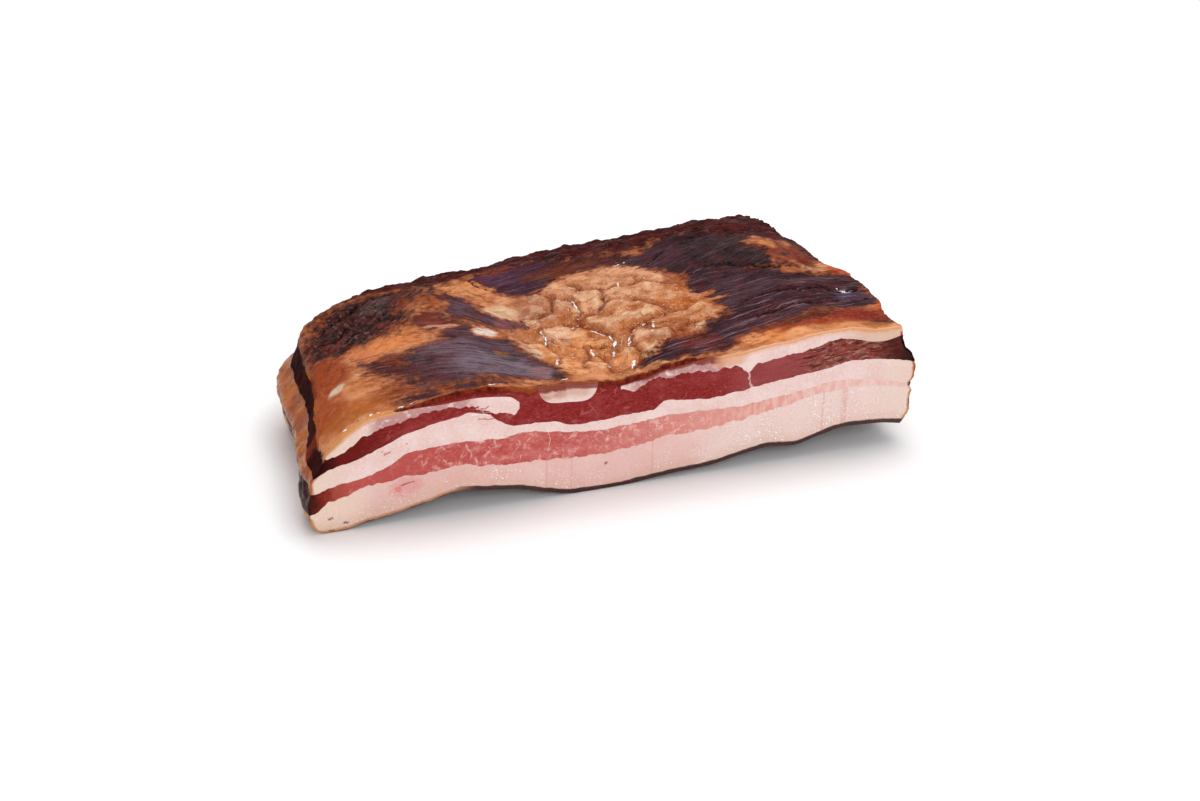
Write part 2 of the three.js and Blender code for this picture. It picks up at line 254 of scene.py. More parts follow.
# The dark lean that shows on the top: outlines seen from above, the direction of its fibres, how strong its
# stripes and their painted sheen are, and its colour
LEAN_PATCHES = {
    "left_muscle": dict(fibres=-20, stripes_and_sheen=0.5, tone=(98, 76, 84), outline=[
        (29, 49), (38, 43), (45, 39), (48, 45), (57, 50), (65, 52), (68, 60), (73, 66), (80, 68), (83, 62),
        (86, 53), (93, 52), (97, 44), (97, 36), (100, 28), (104, 21), (107, 9), (103, 5), (90, 9), (70, 10),
        (55, 9), (45, 11), (41, 20), (37, 30), (30, 40),
    ]),
    "front_strip": dict(fibres=0, tone=(98, 66, 72), outline=[
        (34, 3.2), (50, 2.5), (70, 3), (85, 4.5), (80, 7.5), (60, 8), (45, 8.5), (35, 7),
    ]),
    "strand": dict(fibres=-50, tone=(92, 70, 78), outline=[
        (77, 107), (84, 101), (89, 96), (91, 88), (93, 78), (97, 70), (105, 66), (104, 60), (96, 60),
        (88, 64), (83, 71), (78, 71), (76, 82), (79, 92), (75, 100),
    ]),
    "red_patch": dict(fibres=-30, mixed=0.5, tone=(126, 66, 56), outline=[
        (61, 84), (72, 85), (77, 75), (80, 68), (72, 63), (65, 67), (61, 76),
    ]),
    "back_middle": dict(fibres=12, tone=(80, 56, 66), outline=[
        (96, 113), (104, 121), (122, 124), (145, 122), (168, 117), (166, 108), (150, 103), (138, 104),
        (132, 99), (126, 95), (118, 91), (110, 92), (104, 96), (99, 103),
    ]),
    "back_muscle": dict(fibres=28, tone=(66, 38, 44), outline=[
        (160, 104), (166, 116), (178, 113), (190, 124), (205, 128), (226, 130), (236, 118), (232, 106),
        (226, 102), (233, 94), (231, 84), (231, 78), (238, 76), (240, 72), (215, 74), (200, 70), (186, 72),
        (188, 80), (182, 83), (176, 91), (172, 98), (166, 102),
    ]),
    "grey_muscle": dict(fibres=8, stripes_and_sheen=0.75, tone=(80, 60, 65), outline=[
        (184, 72), (190, 82), (204, 81), (215, 75), (236, 70), (246, 66), (254, 66), (259, 48), (258, 30),
        (230, 28), (205, 28), (190, 28), (178, 26), (190, 34), (188, 42), (190, 52), (186, 62),
    ]),
    "band": dict(fibres=12, stripes_and_sheen=1, tone=(80, 58, 63), outline=[
        (138, 7), (146, 12), (158, 20), (170, 23), (180, 29), (200, 37), (225, 40), (250, 42), (260, 36),
        (258, 27), (242, 22), (224, 21), (205, 20), (195, 16), (182, 8), (165, 3), (150, 4),
    ]),
    "back_ridge": dict(fibres=4, tone=(86, 36, 26), outline=[
        (62, 117), (80, 114), (104, 120), (122, 122), (145, 121), (170, 116), (190, 124), (206, 127),
        (226, 117), (240, 108), (251, 100), (251, 78), (257, 76), (262, 170), (20, 170), (24, 108),
        (34, 116), (48, 120),
    ]),
    "dark_zone": dict(fibres=48, mixed=0.5, tone=(86, 58, 46), outline=[
        (13, 68), (18, 65), (27, 63), (36, 66), (43, 75), (50, 81), (60, 85), (59, 96), (66, 104),
        (80, 111), (70, 116), (50, 118), (40, 112), (28, 104), (20, 92), (12, 80),
    ]),
}

# Spots of colour on the lean and on the fat: middle, half sizes, turn, colour and strength. A few of them are
# painted highlights, as marked below.
LEAN_SPOTS = [
    # Painted sheen: the grey-lilac shine on the left muscle, in this spot and the next
    ((66, 44), (14, 9), -15, (118, 96, 104), 0.8),
    ((80, 22), (19, 11), -8, (124, 108, 118), 0.85),
    ((40, 34), (9, 14), 30, (92, 46, 38), 0.8),
    ((87, 34), (3, 2), 0, (150, 110, 70), 0.9),
    ((100, 64), (7, 8), -50, (136, 86, 88), 0.8),
    ((170, 15), (10, 5), 12, (112, 60, 50), 0.8),
    ((210, 28), (14, 5), 10, (92, 60, 62), 0.8),
    ((50, 15), (9, 7), 20, (98, 58, 58), 0.7),
    ((102, 24), (4, 12), -15, (92, 52, 56), 0.6),
    # Painted sheen on the left muscle
    ((98, 13), (5, 6), -15, (142, 108, 112), 0.8),
    ((241, 60), (11, 7), 0, (34, 16, 16), 1),
    ((226, 88), (8, 9), 0, (56, 28, 18), 0.9),
    ((104, 7), (4, 4), 0, (40, 24, 28), 0.8),
    ((86, 82), (6, 10), -60, (104, 80, 88), 0.7),
    ((108, 112), (9, 7), 10, (92, 66, 80), 0.8),
    ((142, 111), (18, 6), 12, (112, 66, 26), 0.8),
    ((188, 104), (16, 14), 30, (82, 54, 64), 0.7),
    ((212, 100), (17, 18), 0, (62, 34, 42), 0.7),
    ((228, 100), (9, 12), 0, (76, 32, 20), 0.8),
    ((205, 80), (12, 2.5), 0, (32, 14, 14), 0.9),
    ((224, 73), (12, 3), -14, (28, 17, 18), 0.9),
    ((200, 14), (22, 5), 12, (86, 36, 34), 0.8),
    # Painted sheen: a blue-grey shine at the right front
    ((250, 36), (9, 6), 0, (96, 84, 108), 0.6),
    ((205, 58), (18, 12), 0, (88, 66, 72), 0.6),
    ((252, 56), (5, 10), 0, (72, 26, 24), 0.7),
    ((110, 121), (10, 4), 8, (130, 68, 46), 0.8),
    ((50, 104), (9, 6), 40, (104, 84, 80), 0.8),
    ((25, 75), (7, 5), 40, (116, 62, 36), 0.8),
]
FAT_SPOTS = [
    ((14, 50), (11, 17), -8, (150, 74, 25), 0.95),
    ((10, 24), (8, 12), 0, (156, 76, 28), 0.9),
    ((26, 31), (7, 6), 25, (186, 118, 76), 0.9),
    ((16, 12), (12, 7), 0, (170, 98, 54), 0.9),
    ((34, 16), (9, 8), 0, (152, 84, 46), 0.8),
    # Painted highlight: a white glint on the glossy left fat
    ((15.5, 35.5), (2.6, 3.6), -30, (214, 194, 170), 0.9),
    ((42, 62), (15, 12), 5, (210, 130, 84), 0.95),
    ((56, 75), (8, 10), 0, (196, 122, 78), 0.8),
    ((33, 52), (5, 9), 20, (196, 116, 84), 0.7),
    ((70, 68), (8, 3.5), -20, (190, 142, 120), 0.9),
    ((68, 98), (10, 8), -45, (150, 84, 52), 0.8),
    ((67, 90), (5, 3.5), -30, (200, 140, 100), 0.9),
    ((90, 109), (13, 8), -25, (202, 136, 94), 0.95),
    ((100, 76), (8, 7), 10, (216, 180, 146), 0.95),
    ((86.5, 57.5), (5, 4), -20, (222, 208, 198), 1),
    ((115, 77), (10, 13), 0, (158, 104, 80), 0.9),
    ((122, 28), (17, 22), 0, (220, 146, 96), 0.9),
    ((118, 51), (6, 6), 30, (222, 178, 146), 0.9),
    ((101, 36), (3.5, 9), 0, (224, 190, 156), 0.85),
    ((156, 82), (28, 20), 10, (216, 160, 124), 0.85),
    ((178, 57), (9, 9), 40, (186, 106, 60), 0.85),
    ((183, 46), (4, 7), 20, (208, 138, 88), 0.9),
    ((160, 28), (13, 11), 0, (160, 98, 74), 0.9),
    ((143, 66), (3, 5), 0, (226, 182, 146), 0.8),
    ((157, 54), (6, 3), 35, (228, 186, 148), 0.85),
    ((126, 76), (7, 6), 0, (180, 118, 88), 0.8),
    ((238, 92), (8, 15), -8, (112, 46, 16), 0.95),
    ((248, 84), (5, 14), -8, (96, 30, 10), 0.95),
    ((236, 98), (4.5, 6), -20, (204, 134, 82), 0.9),
    ((242, 84), (3, 7), -20, (128, 46, 16), 0.85),
    ((246, 79), (4, 5), 0, (112, 40, 18), 0.8),
    ((238, 84), (3, 3), 0, (66, 30, 24), 0.9),
    ((240, 70), (7, 2.2), 5, (196, 150, 112), 0.8),
    ((256, 63), (4, 9), 0, (196, 84, 42), 0.9),
    ((202, 9), (20, 5), 4, (214, 136, 84), 0.95),
    ((218, 12.5), (15, 4), 4, (152, 70, 22), 1),
    ((206, 17), (16, 2.6), 8, (112, 44, 24), 0.9),
    ((243, 15), (20, 7), 0, (130, 48, 12), 1),
    ((222, 17.5), (14, 3), 4, (76, 14, 4), 1),
    ((226, 4), (26, 3), 0, (206, 136, 92), 0.95),
    ((252, 9), (6, 4), 0, (60, 30, 34), 0.9),
    ((212, 7), (8, 3), 4, (226, 160, 114), 0.8),
    ((233, 9), (9, 3), 4, (146, 70, 30), 0.8),
    ((190, 8), (6, 3), 8, (222, 156, 110), 0.7),
    ((222, 5.5), (4, 2), 0, (176, 120, 84), 0.8),
    ((246, 5), (6, 2.4), 0, (150, 92, 60), 0.8),
    ((172, 60), (5, 5), 0, (190, 112, 64), 0.8),
    ((111, 69), (4, 6), 0, (146, 98, 80), 0.6),
    ((198, 54), (14, 4), 14, (186, 120, 80), 0.8),
    ((233, 68), (7, 3), 0, (150, 84, 48), 0.8),
    ((41, 43), (8, 6), 10, (96, 48, 30), 0.9),
    ((182, 80), (6, 9), 0, (148, 84, 56), 0.9),
    ((22, 70), (8, 4), 10, (96, 48, 26), 0.85),
    ((38, 92), (28, 22), 40, (124, 70, 38), 0.9),
    ((257, 14), (6, 8), 0, (132, 54, 30), 0.9),
    ((258, 24), (5, 4), 20, (206, 104, 58), 0.9),
    ((52, 124), (12, 8), 20, (150, 86, 44), 0.8),
    ((107, 119), (4, 3), 0, (180, 112, 78), 0.9),
]
LEAN_TONE = (80, 58, 62)
FAT_TONE = (206, 140, 100)

# Where fat keeps the lean away: middle, half sizes and turn
CLEAR_OF_LEAN = [
    ((86.5, 57.5), (6.5, 4.5), -20),
    ((70, 68), (7, 2.5), -20),
    ((101, 76), (9, 7), 0),
    ((234, 68), (6, 2.5), 0),
    ((40, 60), (12, 8), 0),
    ((96, 106), (8, 5), -20),
    ((198, 55), (11, 2), 14),
    ((192, 62), (9, 2), 20),
]
CLEARANCE = 7
FAR_OUTSIDE = -50.0

# Where lean and fat run into each other: middle, half sizes and turn
MIXED_SPOT = ((46, 22), (17, 15), 20)

# The sunken fat in the middle: where it lies, its half sizes and the creases in it
MIDDLE_ROUND_AT = (143, 48)
MIDDLE_ROUND_SIZE = (46, 52)
CREASES = [
    [(104, 44), (110, 45), (113, 50), (112, 56), (116, 61), (123, 61), (130, 60)],
    [(130, 60), (134, 52), (139, 43), (139, 36), (134, 26)],
    [(130, 60), (133, 66), (134, 74), (132, 80), (126, 84)],
    [(141, 26), (145, 36), (152, 41), (157, 45), (166, 46), (176, 50)],
    [(107, 20), (112, 32), (113, 38)],
    [(118, 16), (124, 28), (127, 36)],
    [(128, 12), (130, 22), (127, 30)],
    [(141, 26), (143, 16), (138, 8)],
    [(154, 94), (166, 88), (167, 80), (158, 78), (148, 80)],
    [(167, 80), (176, 74), (183, 68)],
    [(136, 96), (140, 86), (148, 80), (146, 70), (140, 62), (130, 60)],
    [(146, 70), (156, 66), (166, 60), (168, 50)],
    [(157, 45), (154, 34), (160, 26), (158, 18)],
    [(160, 26), (170, 30), (180, 30)],
    [(113, 50), (120, 44), (127, 36), (134, 34)],
    [(104, 44), (99, 50), (95, 58)],
    [(112, 68), (120, 72), (126, 84), (122, 92)],
]

# Painted highlights: wet points of light along some creases
GLINTS = [
    [(105, 44.5), (110, 45), (112.5, 50)],
    [(113, 51), (112, 56), (116, 61)],
    [(124, 61.5), (130, 60.5)],
    [(133.5, 52), (138.5, 43), (139, 37), (134.5, 26.5)],
    [(131, 80), (134, 76), (133, 66)],
    [(145, 35), (151, 41), (156, 44.5)],
    [(141, 27), (144, 33)],
    [(107, 22), (111, 30)],
    [(127.5, 35), (126.5, 30)],
    [(126, 18), (129, 16)],
    [(136, 9), (139, 13)],
    [(161.5, 102.5), (168, 105.5)],
    [(34, 3.6), (41, 3.2)],
    [(23, 3.4), (28, 2.8)],
    [(72, 2.6), (75, 3.4)],
    [(103, 3.6), (106, 5)],
    [(12, 4.6), (13.5, 5.2)],
    [(155, 79), (156, 81)],
    [(136, 89), (139, 88)],
    [(152, 29), (158, 41)],
    [(246, 43), (252, 41)],
]

# Cracks in the lean
CRACKS = [
    [(97, 112), (98, 107), (101, 102)],
    [(188, 80), (196, 82), (205, 82), (214, 77), (222, 72), (236, 71)],
    [(196, 37), (210, 40), (230, 41), (256, 42)],
    [(200, 27), (215, 30), (235, 30), (256, 33)],
    [(18, 79), (24, 81), (34, 89), (40, 97)],
    [(30, 98), (42, 106), (50, 113), (64, 113)],
    [(20, 90), (32, 99), (46, 108)],
    [(176, 100), (190, 111), (200, 114)],
]


def laid(tones, tone, share):
    """A map of colours with one more colour laid over it by a share."""
    return lerp(tones, colour(tone), share[:, None])


def spotted(tones, at, spots):
    for middle, size, turn, tone, strength in spots:
        tones = laid(tones, tone, spot(at, middle, size, turn) * strength)
    return tones


def lean_maps(at, bent):
    """How far inside the lean each place lies, and the way of its fibres, the strength of its stripes and
    their painted sheen, and its colour.
    """
    edge = np.full(len(at), FAR_OUTSIDE)
    along = np.zeros((len(at), 2))
    stripes_and_sheen = np.zeros(len(at))
    tones = np.tile(colour(LEAN_TONE), (len(at), 1))
    for patch in LEAN_PATCHES.values():
        inside = within(bent, patch["outline"]) * patch.get("mixed", 1)
        share = smooth(inside, -2.5, 2.5)
        tones = laid(tones, patch["tone"], share)
        stripes_and_sheen = lerp(stripes_and_sheen, patch.get("stripes_and_sheen", 0.3), share)
        fibres = np.column_stack(turned(at, (0, 0), patch["fibres"]))
        along = np.where((inside > edge)[:, None], fibres, along)
        edge = np.maximum(edge, inside)
    edge *= 1 - 0.65 * spot(at, *MIXED_SPOT)
    for middle, size, turn in CLEAR_OF_LEAN:
        edge -= CLEARANCE * spot(bent, middle, size, turn)
    tones = laid(tones, (92, 42, 32), smooth(rough(bent, 17, 18, 3), 0.02, 0.4) * 0.45)
    tones = laid(tones, (34, 18, 20), smooth(rough(bent, 9, 19, 3), 0.05, 0.45) * 0.5)
    return edge, along, stripes_and_sheen, spotted(tones, bent, LEAN_SPOTS)


def fat_tones(at, bent, centre, lobes, crease):
    """The colour of the fat, with pale lobes and dark creases in the sunken round: painted highlights on the
    tops of the lobes and painted shade in the hollows between them and in the creases.
    """
    tones = np.tile(colour(FAT_TONE), (len(at), 1))
    tones = laid(tones, (168, 96, 58), smooth(rough(at, 15, 7), -0.1, 0.6) * 0.6)
    tones = laid(tones, (222, 172, 134), smooth(rough(at, 11, 8), 0.1, 0.7) * 0.6)
    tones = spotted(tones, bent, FAT_SPOTS)
    # Painted shade in the hollows between the lobes, painted highlights on their tops and painted shade in
    # the creases
    tones = laid(tones, (158, 90, 52), centre * smooth(lobes, -0.02, -0.4) * 0.6)
    tones = laid(tones, (240, 202, 166), centre * smooth(lobes, 0.1, 0.45) * smooth(crease, 1, 3) * 0.45)
    return laid(tones, (150, 84, 48), centre * smooth(crease, 2.6, 0.4) * 0.5)


def top_maps():
    """The relief, the colours, the gloss and the fibres of the top."""
    at = MAP_AT
    x, y = at.T
    bent = at + 2.2 * np.column_stack([rough(at, 13, 1), rough(at, 13, 2)])
    bent += 0.9 * np.column_stack([rough(at, 3.2, 3, 3), rough(at, 3.2, 4, 3)])
    edge, along, stripes_and_sheen, lean_tones = lean_maps(at, bent)
    across, deep = ((bent - MIDDLE_ROUND_AT) / MIDDLE_ROUND_SIZE).T
    centre = smooth(np.hypot(across, deep), 1.12, 0.8) * smooth(edge, 1.5, -1.5)
    lines = dict(
        crease=offsets(bent, CREASES),
        crack=offsets(bent, CRACKS),
        glint=offsets(lerp(at, bent, 0.5), GLINTS),
    )
    crease, crack = (np.hypot(*lines[key].T) for key in ("crease", "crack"))
    lobes = rough(bent, 8, 10, 2)
    streaks = rough(along, (16, 1.5), 5, 3)
    fine_streaks = rough(along, (9, 0.8), 6, 2)
    lean = smooth(edge + 1.2 * streaks, -0.5, 0.5)
    ridge = smooth(y, 112, 122)
    tangle = spot(bent, (36, 90), (27, 22), 40)
    lip = smooth(y + 1.2 * rough(at, 7, 17, 3), 2.4, 1.3) * smooth(x, 42, 60) * smooth(x, 168, 150)
    relief = 0.55 * rough(at, 24, 11, 3) + 0.22 * rough(at, 5, 12, 3)
    relief += lean * (0.38 * streaks + 0.16 * fine_streaks - 0.35)
    relief += (1 - lean) * 0.12 * rough(at, 2.2, 13, 3)
    relief += centre * (1.5 * lobes - 1.6 * smooth(crease, 2.1, 0) + 0.2)
    relief -= 1.1 * smooth(crack, 1.3, 0)
    relief += np.clip(tangle + ridge, 0, 1) * (0.9 * streaks + 0.5 * rough(at, 3.4, 14, 3))
    relief += 0.9 * tangle * rough(at, 6, 33, 2)
    relief += ridge * (1.1 * rough(at, 7, 28, 3) - 0.3)
    relief += lip * (0.5 * rough(at, (3, 4), 15, 3) + 0.2)
    relief -= 0.6
    wet = np.clip(0.25 + 0.35 * rough(at, 9, 16, 3) + 0.35 * centre, 0, 1)
    tones = dict(lean=lean_tones, fat=fat_tones(at, bent, centre, lobes, crease))
    values = dict(edge=edge, centre=centre, wet=wet, lip=lip, stripes_and_sheen=stripes_and_sheen, tangle=tangle)
    return dict(relief=relief, tones=tones, along=along, values=values, lines=lines)


MAPS = top_maps()


def top(x, y):
    """The height of the top with its relief, which rounds off towards the cut."""
    return top_form(x, y) + read(MAPS["relief"], x, y)[:, 0] - quarter_round(np.maximum(y, 0), 1.4, 0.7)


# The relief of the ends and the back, how far in it reaches, its noise, and the lumps that stand out of
# the right end near the top, along y
END_ROUGHNESS = 0.8
RELIEF_REACH = 0.05
END_SEEDS = dict(left=20, right=22, back=24)
END_STRETCH = (1, 1, 1.2)
END_LUMPS = curve(
    (20, 0), (27, 1.6), (36, 0.4), (46, 1.8), (54, 0.3), (62, 1.2), (69, 3), (76, 0.6), (84, 0.3), (100, 0)
)


def end_relief(at, seed):
    places = at * END_STRETCH
    lumps = rough(places, 9, seed, 3)
    fine = rough(places, 2.4, seed + 1, 3)
    return np.maximum(END_ROUGHNESS * (lumps + 0.5) + 0.35 * fine + 0.4, 0.15)


def place(u, v, w):
    """A place in the slab: u from left to right, v from front to back, w from the underside to the top."""
    back_x = lerp(BACK_LEFT_X, BACK_RIGHT_X, u)
    x = lerp(left_edge(v * LEFT_DEPTH), right_edge(v * RIGHT_DEPTH), u)
    y = back_edge(back_x) * v
    inwards, leftwards, forwards = (np.maximum(0, 1 - t / INSET_REACH) ** 2 for t in (u, 1 - u, 1 - v))
    behind = smooth(v, 0, FRONT_REACH)
    x += lerp(left_inset_front(w), left_inset_behind(w), behind) * inwards
    x -= right_inset(w) * lerp(1, RIGHT_INSET_BEHIND, behind) * leftwards
    y -= back_inset(w) * forwards
    low, high = underside(x, y), top(x, y)
    z = lerp(low, high, w)
    for side, share in dict(left=u, right=1 - u, back=1 - v).items():
        near = np.flatnonzero(share < RELIEF_REACH)
        at = np.column_stack([x, y, z])[near]
        fade = 1 - share[near] / RELIEF_REACH
        depth = end_relief(at, END_SEEDS[side]) * fade**2
        if side == "left":
            x[near] += depth
        elif side == "right":
            x[near] -= depth - END_LUMPS(y[near]) * smooth(w[near], 0.55, 0.85) * fade
        else:
            y[near] -= depth
    near = np.flatnonzero(v < RELIEF_REACH / 2)
    at = np.column_stack([x, z])[near]
    depth = 0.22 * (rough(at, 16, 26, 3) + 0.5) + 0.05 * rough(at, 1.6, 27, 2)
    y[near] += np.maximum(depth, 0) * (1 - v[near] / (RELIEF_REACH / 2)) ** 2
    return np.column_stack([x, y, z])


# The boundaries between the layers, as drawn on the cut, and their heights at the back
BACK_FAT_TOP = dict(
    cut=curve(
        (-5, 9), (0, 11.5), (4, 14), (10, 15.5), (16, 18), (25, 19.5), (40, 20.5), (60, 21.5), (75, 19.2),
        (90, 18.3), (103, 17.6), (116, 17), (126, 17.2), (138, 19), (150, 20.5), (170, 21.2), (182, 23),
        (195, 25), (208, 27.2), (222, 30), (236, 30.6), (250, 29.2), (265, 26.3),
    ),
    back=0.27,
    ragged=0.8,
)
LOWER_LEAN_TOP = dict(
    cut=curve(
        (-5, 18.5), (2, 19.8), (8, 21.5), (18, 22.8), (28, 26.5), (40, 31.8), (55, 32.4), (70, 32),
        (76, 31.3), (85, 32.8), (100, 30.7), (120, 28.3), (132, 29), (142, 30), (158, 30.4), (180, 29.6),
        (200, 31.4), (212, 32.8), (226, 35), (238, 33.9), (250, 31.7), (265, 28.3),
    ),
    back=0.46,
    ledge=(0.56, 0.12, 0.5),
    ragged=0.45,
)
MIDDLE_FAT_TOP = dict(
    cut=curve(
        (-5, 25), (5, 29.2), (16, 31.8), (28, 36.8), (40, 41), (50, 43.4), (57, 44), (63, 45.4), (69, 44.2),
        (75, 40), (82, 36.6), (97, 35.9), (110, 32.6), (121, 33), (135, 34), (143, 34.3), (148, 37.4),
        (157, 36.8), (168, 35.5), (186, 37.4), (205, 39.7), (220, 41), (233, 43.4), (245, 42.5),
        (257, 40.6), (266, 38.2),
    ),
    back=0.64,
    ledge=(0.75, 0.8, 1.02),
    ragged=0.4,
)
CUT_REACH = 0.7


def level(boundary, u, v):
    """The share of the slab's height at which a boundary lies."""
    x = lerp(LEFT_X, RIGHT_X, u)
    w = np.full_like(x, 0.5)
    zero = np.zeros_like(x)
    for _ in range(4):
        inwards, leftwards = (np.maximum(0, 1 - t / INSET_REACH) ** 2 for t in (u, 1 - u))
        at = x + left_inset_front(w) * inwards - right_inset(w) * leftwards
        low, high = underside(at, zero), top(at, zero)
        wavy = boundary["ragged"] * waves(at)
        w = np.clip((boundary["cut"](at) + wavy - low) / (high - low), 0.02, 0.98)
    w = lerp(w, boundary["back"], smooth(v, 0, CUT_REACH))
    ledge, starts, ends = boundary.get("ledge", (0, 0, 0))
    return lerp(w, ledge, smooth(u, 0.06, 0) * smooth(v, 0, 0.1) * smooth(v, ends, starts)) if ledge else w


WAVE_X = np.arange(-12, 272, 0.5)
WAVE_AT = np.column_stack([WAVE_X, 0 * WAVE_X])
WAVE_HEIGHTS = rough(WAVE_AT, 4.5, 30, 3) + 0.55 * rough(WAVE_AT, 1.9, 34, 2)


def waves(x):
    return np.interp(x, WAVE_X, WAVE_HEIGHTS)


# Closed meshes

def steps(count):
    return np.round(np.linspace(0, 1, count + 1), 6)


def rows_behind():
    """Rows from the cut to the back, closer together at both edges."""
    middle = steps(int(150 / (SPACING * 1.12)))
    first = middle[1]
    edges = first * np.array([0.3, 0.62])
    return np.round(np.unique(np.concatenate([middle, edges, 1 - edges])), 6)


ALONG = steps(int((RIGHT_X - LEFT_X) / SPACING))
BEHIND = rows_behind()


def squares(a, b, inside, flip=False):
    """Squares over two rows of numbers, and the inside coordinates of their corners."""
    grid_a, grid_b = np.meshgrid(a, b, indexing="ij")
    corners = inside(grid_a.ravel(), grid_b.ravel())
    index = np.arange(grid_a.size).reshape(grid_a.shape)
    faces = np.stack([index[:-1, :-1], index[1:, :-1], index[1:, 1:], index[:-1, 1:]], -1).reshape(-1, 4)
    return corners, faces[:, ::-1] if flip else faces


def hidden_cap(u, v, t, flip):
    """A face between two layers: full detail along its edge, few triangles inside."""
    ring = [(a, 0) for a in u[:-1]] + [(1, b) for b in v[:-1]]
    ring += [(a, 1) for a in u[:0:-1]] + [(0, b) for b in v[:0:-1]]
    inner = [(a, b) for a in np.linspace(0.02, 0.98, 45) for b in np.linspace(0.03, 0.97, 24)]
    edges = [(i, (i + 1) % len(ring)) for i in range(len(ring))]
    points, _, faces, *_ = delaunay_2d_cdt([Vector(p) for p in ring + inner], edges, [], 0, 1e-7)
    places = np.array([tuple(p) for p in points])
    corners = np.column_stack([places, np.full(len(places), t)])
    triangles = np.array(faces)
    return corners, triangles[:, ::-1] if flip else triangles


def shell(patches, move):
    """One closed mesh of patches that share the corners along their edges."""
    corners = np.round(np.concatenate([c for c, _ in patches]), 6)
    unique, index = np.unique(corners, axis=0, return_inverse=True)
    index = index.ravel()
    faces, start = [], 0
    for patch, squares_or_triangles in patches:
        faces += index[squares_or_triangles + start].tolist()
        start += len(patch)
    return move(*unique.T), faces


def box_patches(u, v, t, full_top=True, full_bottom=True):
    """The six sides of a box in its inside coordinates, facing outwards."""
    def side(a, b, axis, end, flip=False):
        return squares(a, b, lambda p, q: np.insert(np.column_stack([p, q]), axis, end, axis=1), flip)

    return [
        side(u, v, 2, 1) if full_top else hidden_cap(u, v, 1, False),
        side(u, v, 2, 0, True) if full_bottom else hidden_cap(u, v, 0, True),
        side(u, t, 1, 0),
        side(u, t, 1, 1, True),
        side(v, t, 0, 0, True),
        side(v, t, 0, 1),
    ]


def mesh_object(name, points, faces):
    """A smooth mesh in the slab's own millimetres."""
    mesh = bpy.data.meshes.new(name)
    mesh.from_pydata(points.tolist(), [], faces)
    piece = bpy.data.objects.new(name, mesh)
    bpy.context.scene.collection.objects.link(piece)
    return piece


def layer(name, lower, upper, thickness, bulge):
    """One layer between two boundaries; a bulge rounds its ends off."""
    t_rows = steps(max(4, int(thickness / SPACING)))

    def move(u, v, t):
        low = level(lower, u, v) if lower else np.zeros_like(u)
        high = level(upper, u, v)
        at = place(u, v, lerp(low, high, t))
        rounding = bulge * (1 - np.sqrt(np.clip(1 - (2 * t - 1) ** 4, 0, 1)))
        at[:, 0] += rounding * np.maximum(0, 1 - u / 0.03) - rounding * np.maximum(0, 1 - (1 - u) / 0.03)
        at[:, 1] -= rounding * np.maximum(0, 1 - (1 - v) / 0.05)
        return at

    patches = box_patches(ALONG, BEHIND, t_rows, full_top=False, full_bottom=False)
    return mesh_object(name, *shell(patches, move))


def upper_part():
    """All that lies above the middle fat."""
    def move(u, v, t):
        return place(u, v, lerp(level(MIDDLE_FAT_TOP, u, v), 1, t))

    patches = box_patches(ALONG, BEHIND, steps(int(20 / SPACING)), full_bottom=False)
    return mesh_object("upper_part", *shell(patches, move))


# The fat in the top of the upper lean, each piece held between two depths below the top
IN_THE_AIR = -4
BEFORE_THE_CUT = -4
LEFT_FAT_DEPTH = 78

left_fat_floor = curve(
    (-6, 2), (2, 2.1), (8, 5.1), (20, 6.2), (30, 5.2), (45, 5.2), (55, 5.9), (62, 7.5), (70, 10.2),
    (77, 12.2), (81, 12.8), (84, 9.5),
)
left_fat_cover = curve(
    (20, IN_THE_AIR), (28, -0.8), (32, 0.6), (40, 1.9), (52, 3.9), (66, 4.6), (80, 5.1), (84, 7)
)
left_fat_reach = curve((BEFORE_THE_CUT, 84.5), (4, 83), (12, 66), (25, 54), (45, 52), (62, 60), (78, 40))
right_fat_floor = curve(
    (128, 4.2), (134, 6.2), (142, 4.4), (150, 5.8), (162, 6.2), (170, 6.8), (180, 6), (185.5, 10.4),
    (190, 7.6), (200, 6.9), (213, 7.2), (222, 5.6), (230, 4.8), (238, 5.9), (248, 6.2), (258, 4.2),
)
right_fat_cover = curve((128, 3.2), (137, 2.6), (150, 2.6), (164, 1.4), (172, -1), (180, IN_THE_AIR))
right_fat_depth = curve((128, 5), (168, 9), (190, 21), (208, 33), (240, 37), (272, 36))
RIGHT_FAT_START = 128
ROUND_AT = (138, 50)
ROUND_EDGE = (46, 54, 56, 51, 48, 44, 41, 46, 50, 47, 27, 26)
ROUND_FLOOR = 8.5
ROUND_FRONT = 3
LOBE_AT = (105, 5)
LOBE_SIZE = (13.5, 17)
LOBE_FLOOR = 9.3


def left_fat(p, q, t):
    y = lerp(BEFORE_THE_CUT, LEFT_FAT_DEPTH, q)
    reach = left_fat_reach(y)
    x = lerp(LEFT_X - 5, reach, p)
    behind = np.clip(y, 0, LEFT_FAT_DEPTH) / LEFT_FAT_DEPTH
    end = 1 - 0.85 * smooth(x, reach - 12, reach) * smooth(y, 2, 14)
    floor = left_fat_floor(x) * (1 - behind**3) * end + 0.4 + 0.9 * waves(x * 1.5 + 40)
    floor += 1.6 * smooth(x, 12, 4) * smooth(y, 4, 16) * (1 - behind**3)
    cover = lerp(left_fat_cover(x), IN_THE_AIR, smooth(y, 4, 16))
    return np.column_stack([x, y, top_form(x, np.maximum(y, 0)) - lerp(floor, cover, t)])


def right_fat(p, q, t):
    x = lerp(RIGHT_FAT_START, RIGHT_X + 5, p)
    deep = right_fat_depth(x)
    y = lerp(BEFORE_THE_CUT, deep, q)
    floor = right_fat_floor(x) * (1 - np.clip(y / deep, 0, 1) ** 3) + 0.5 + 0.9 * waves(x * 1.4 - 60)
    return np.column_stack([x, y, top_form(x, np.maximum(y, 0)) - lerp(floor, right_fat_cover(x), t)])


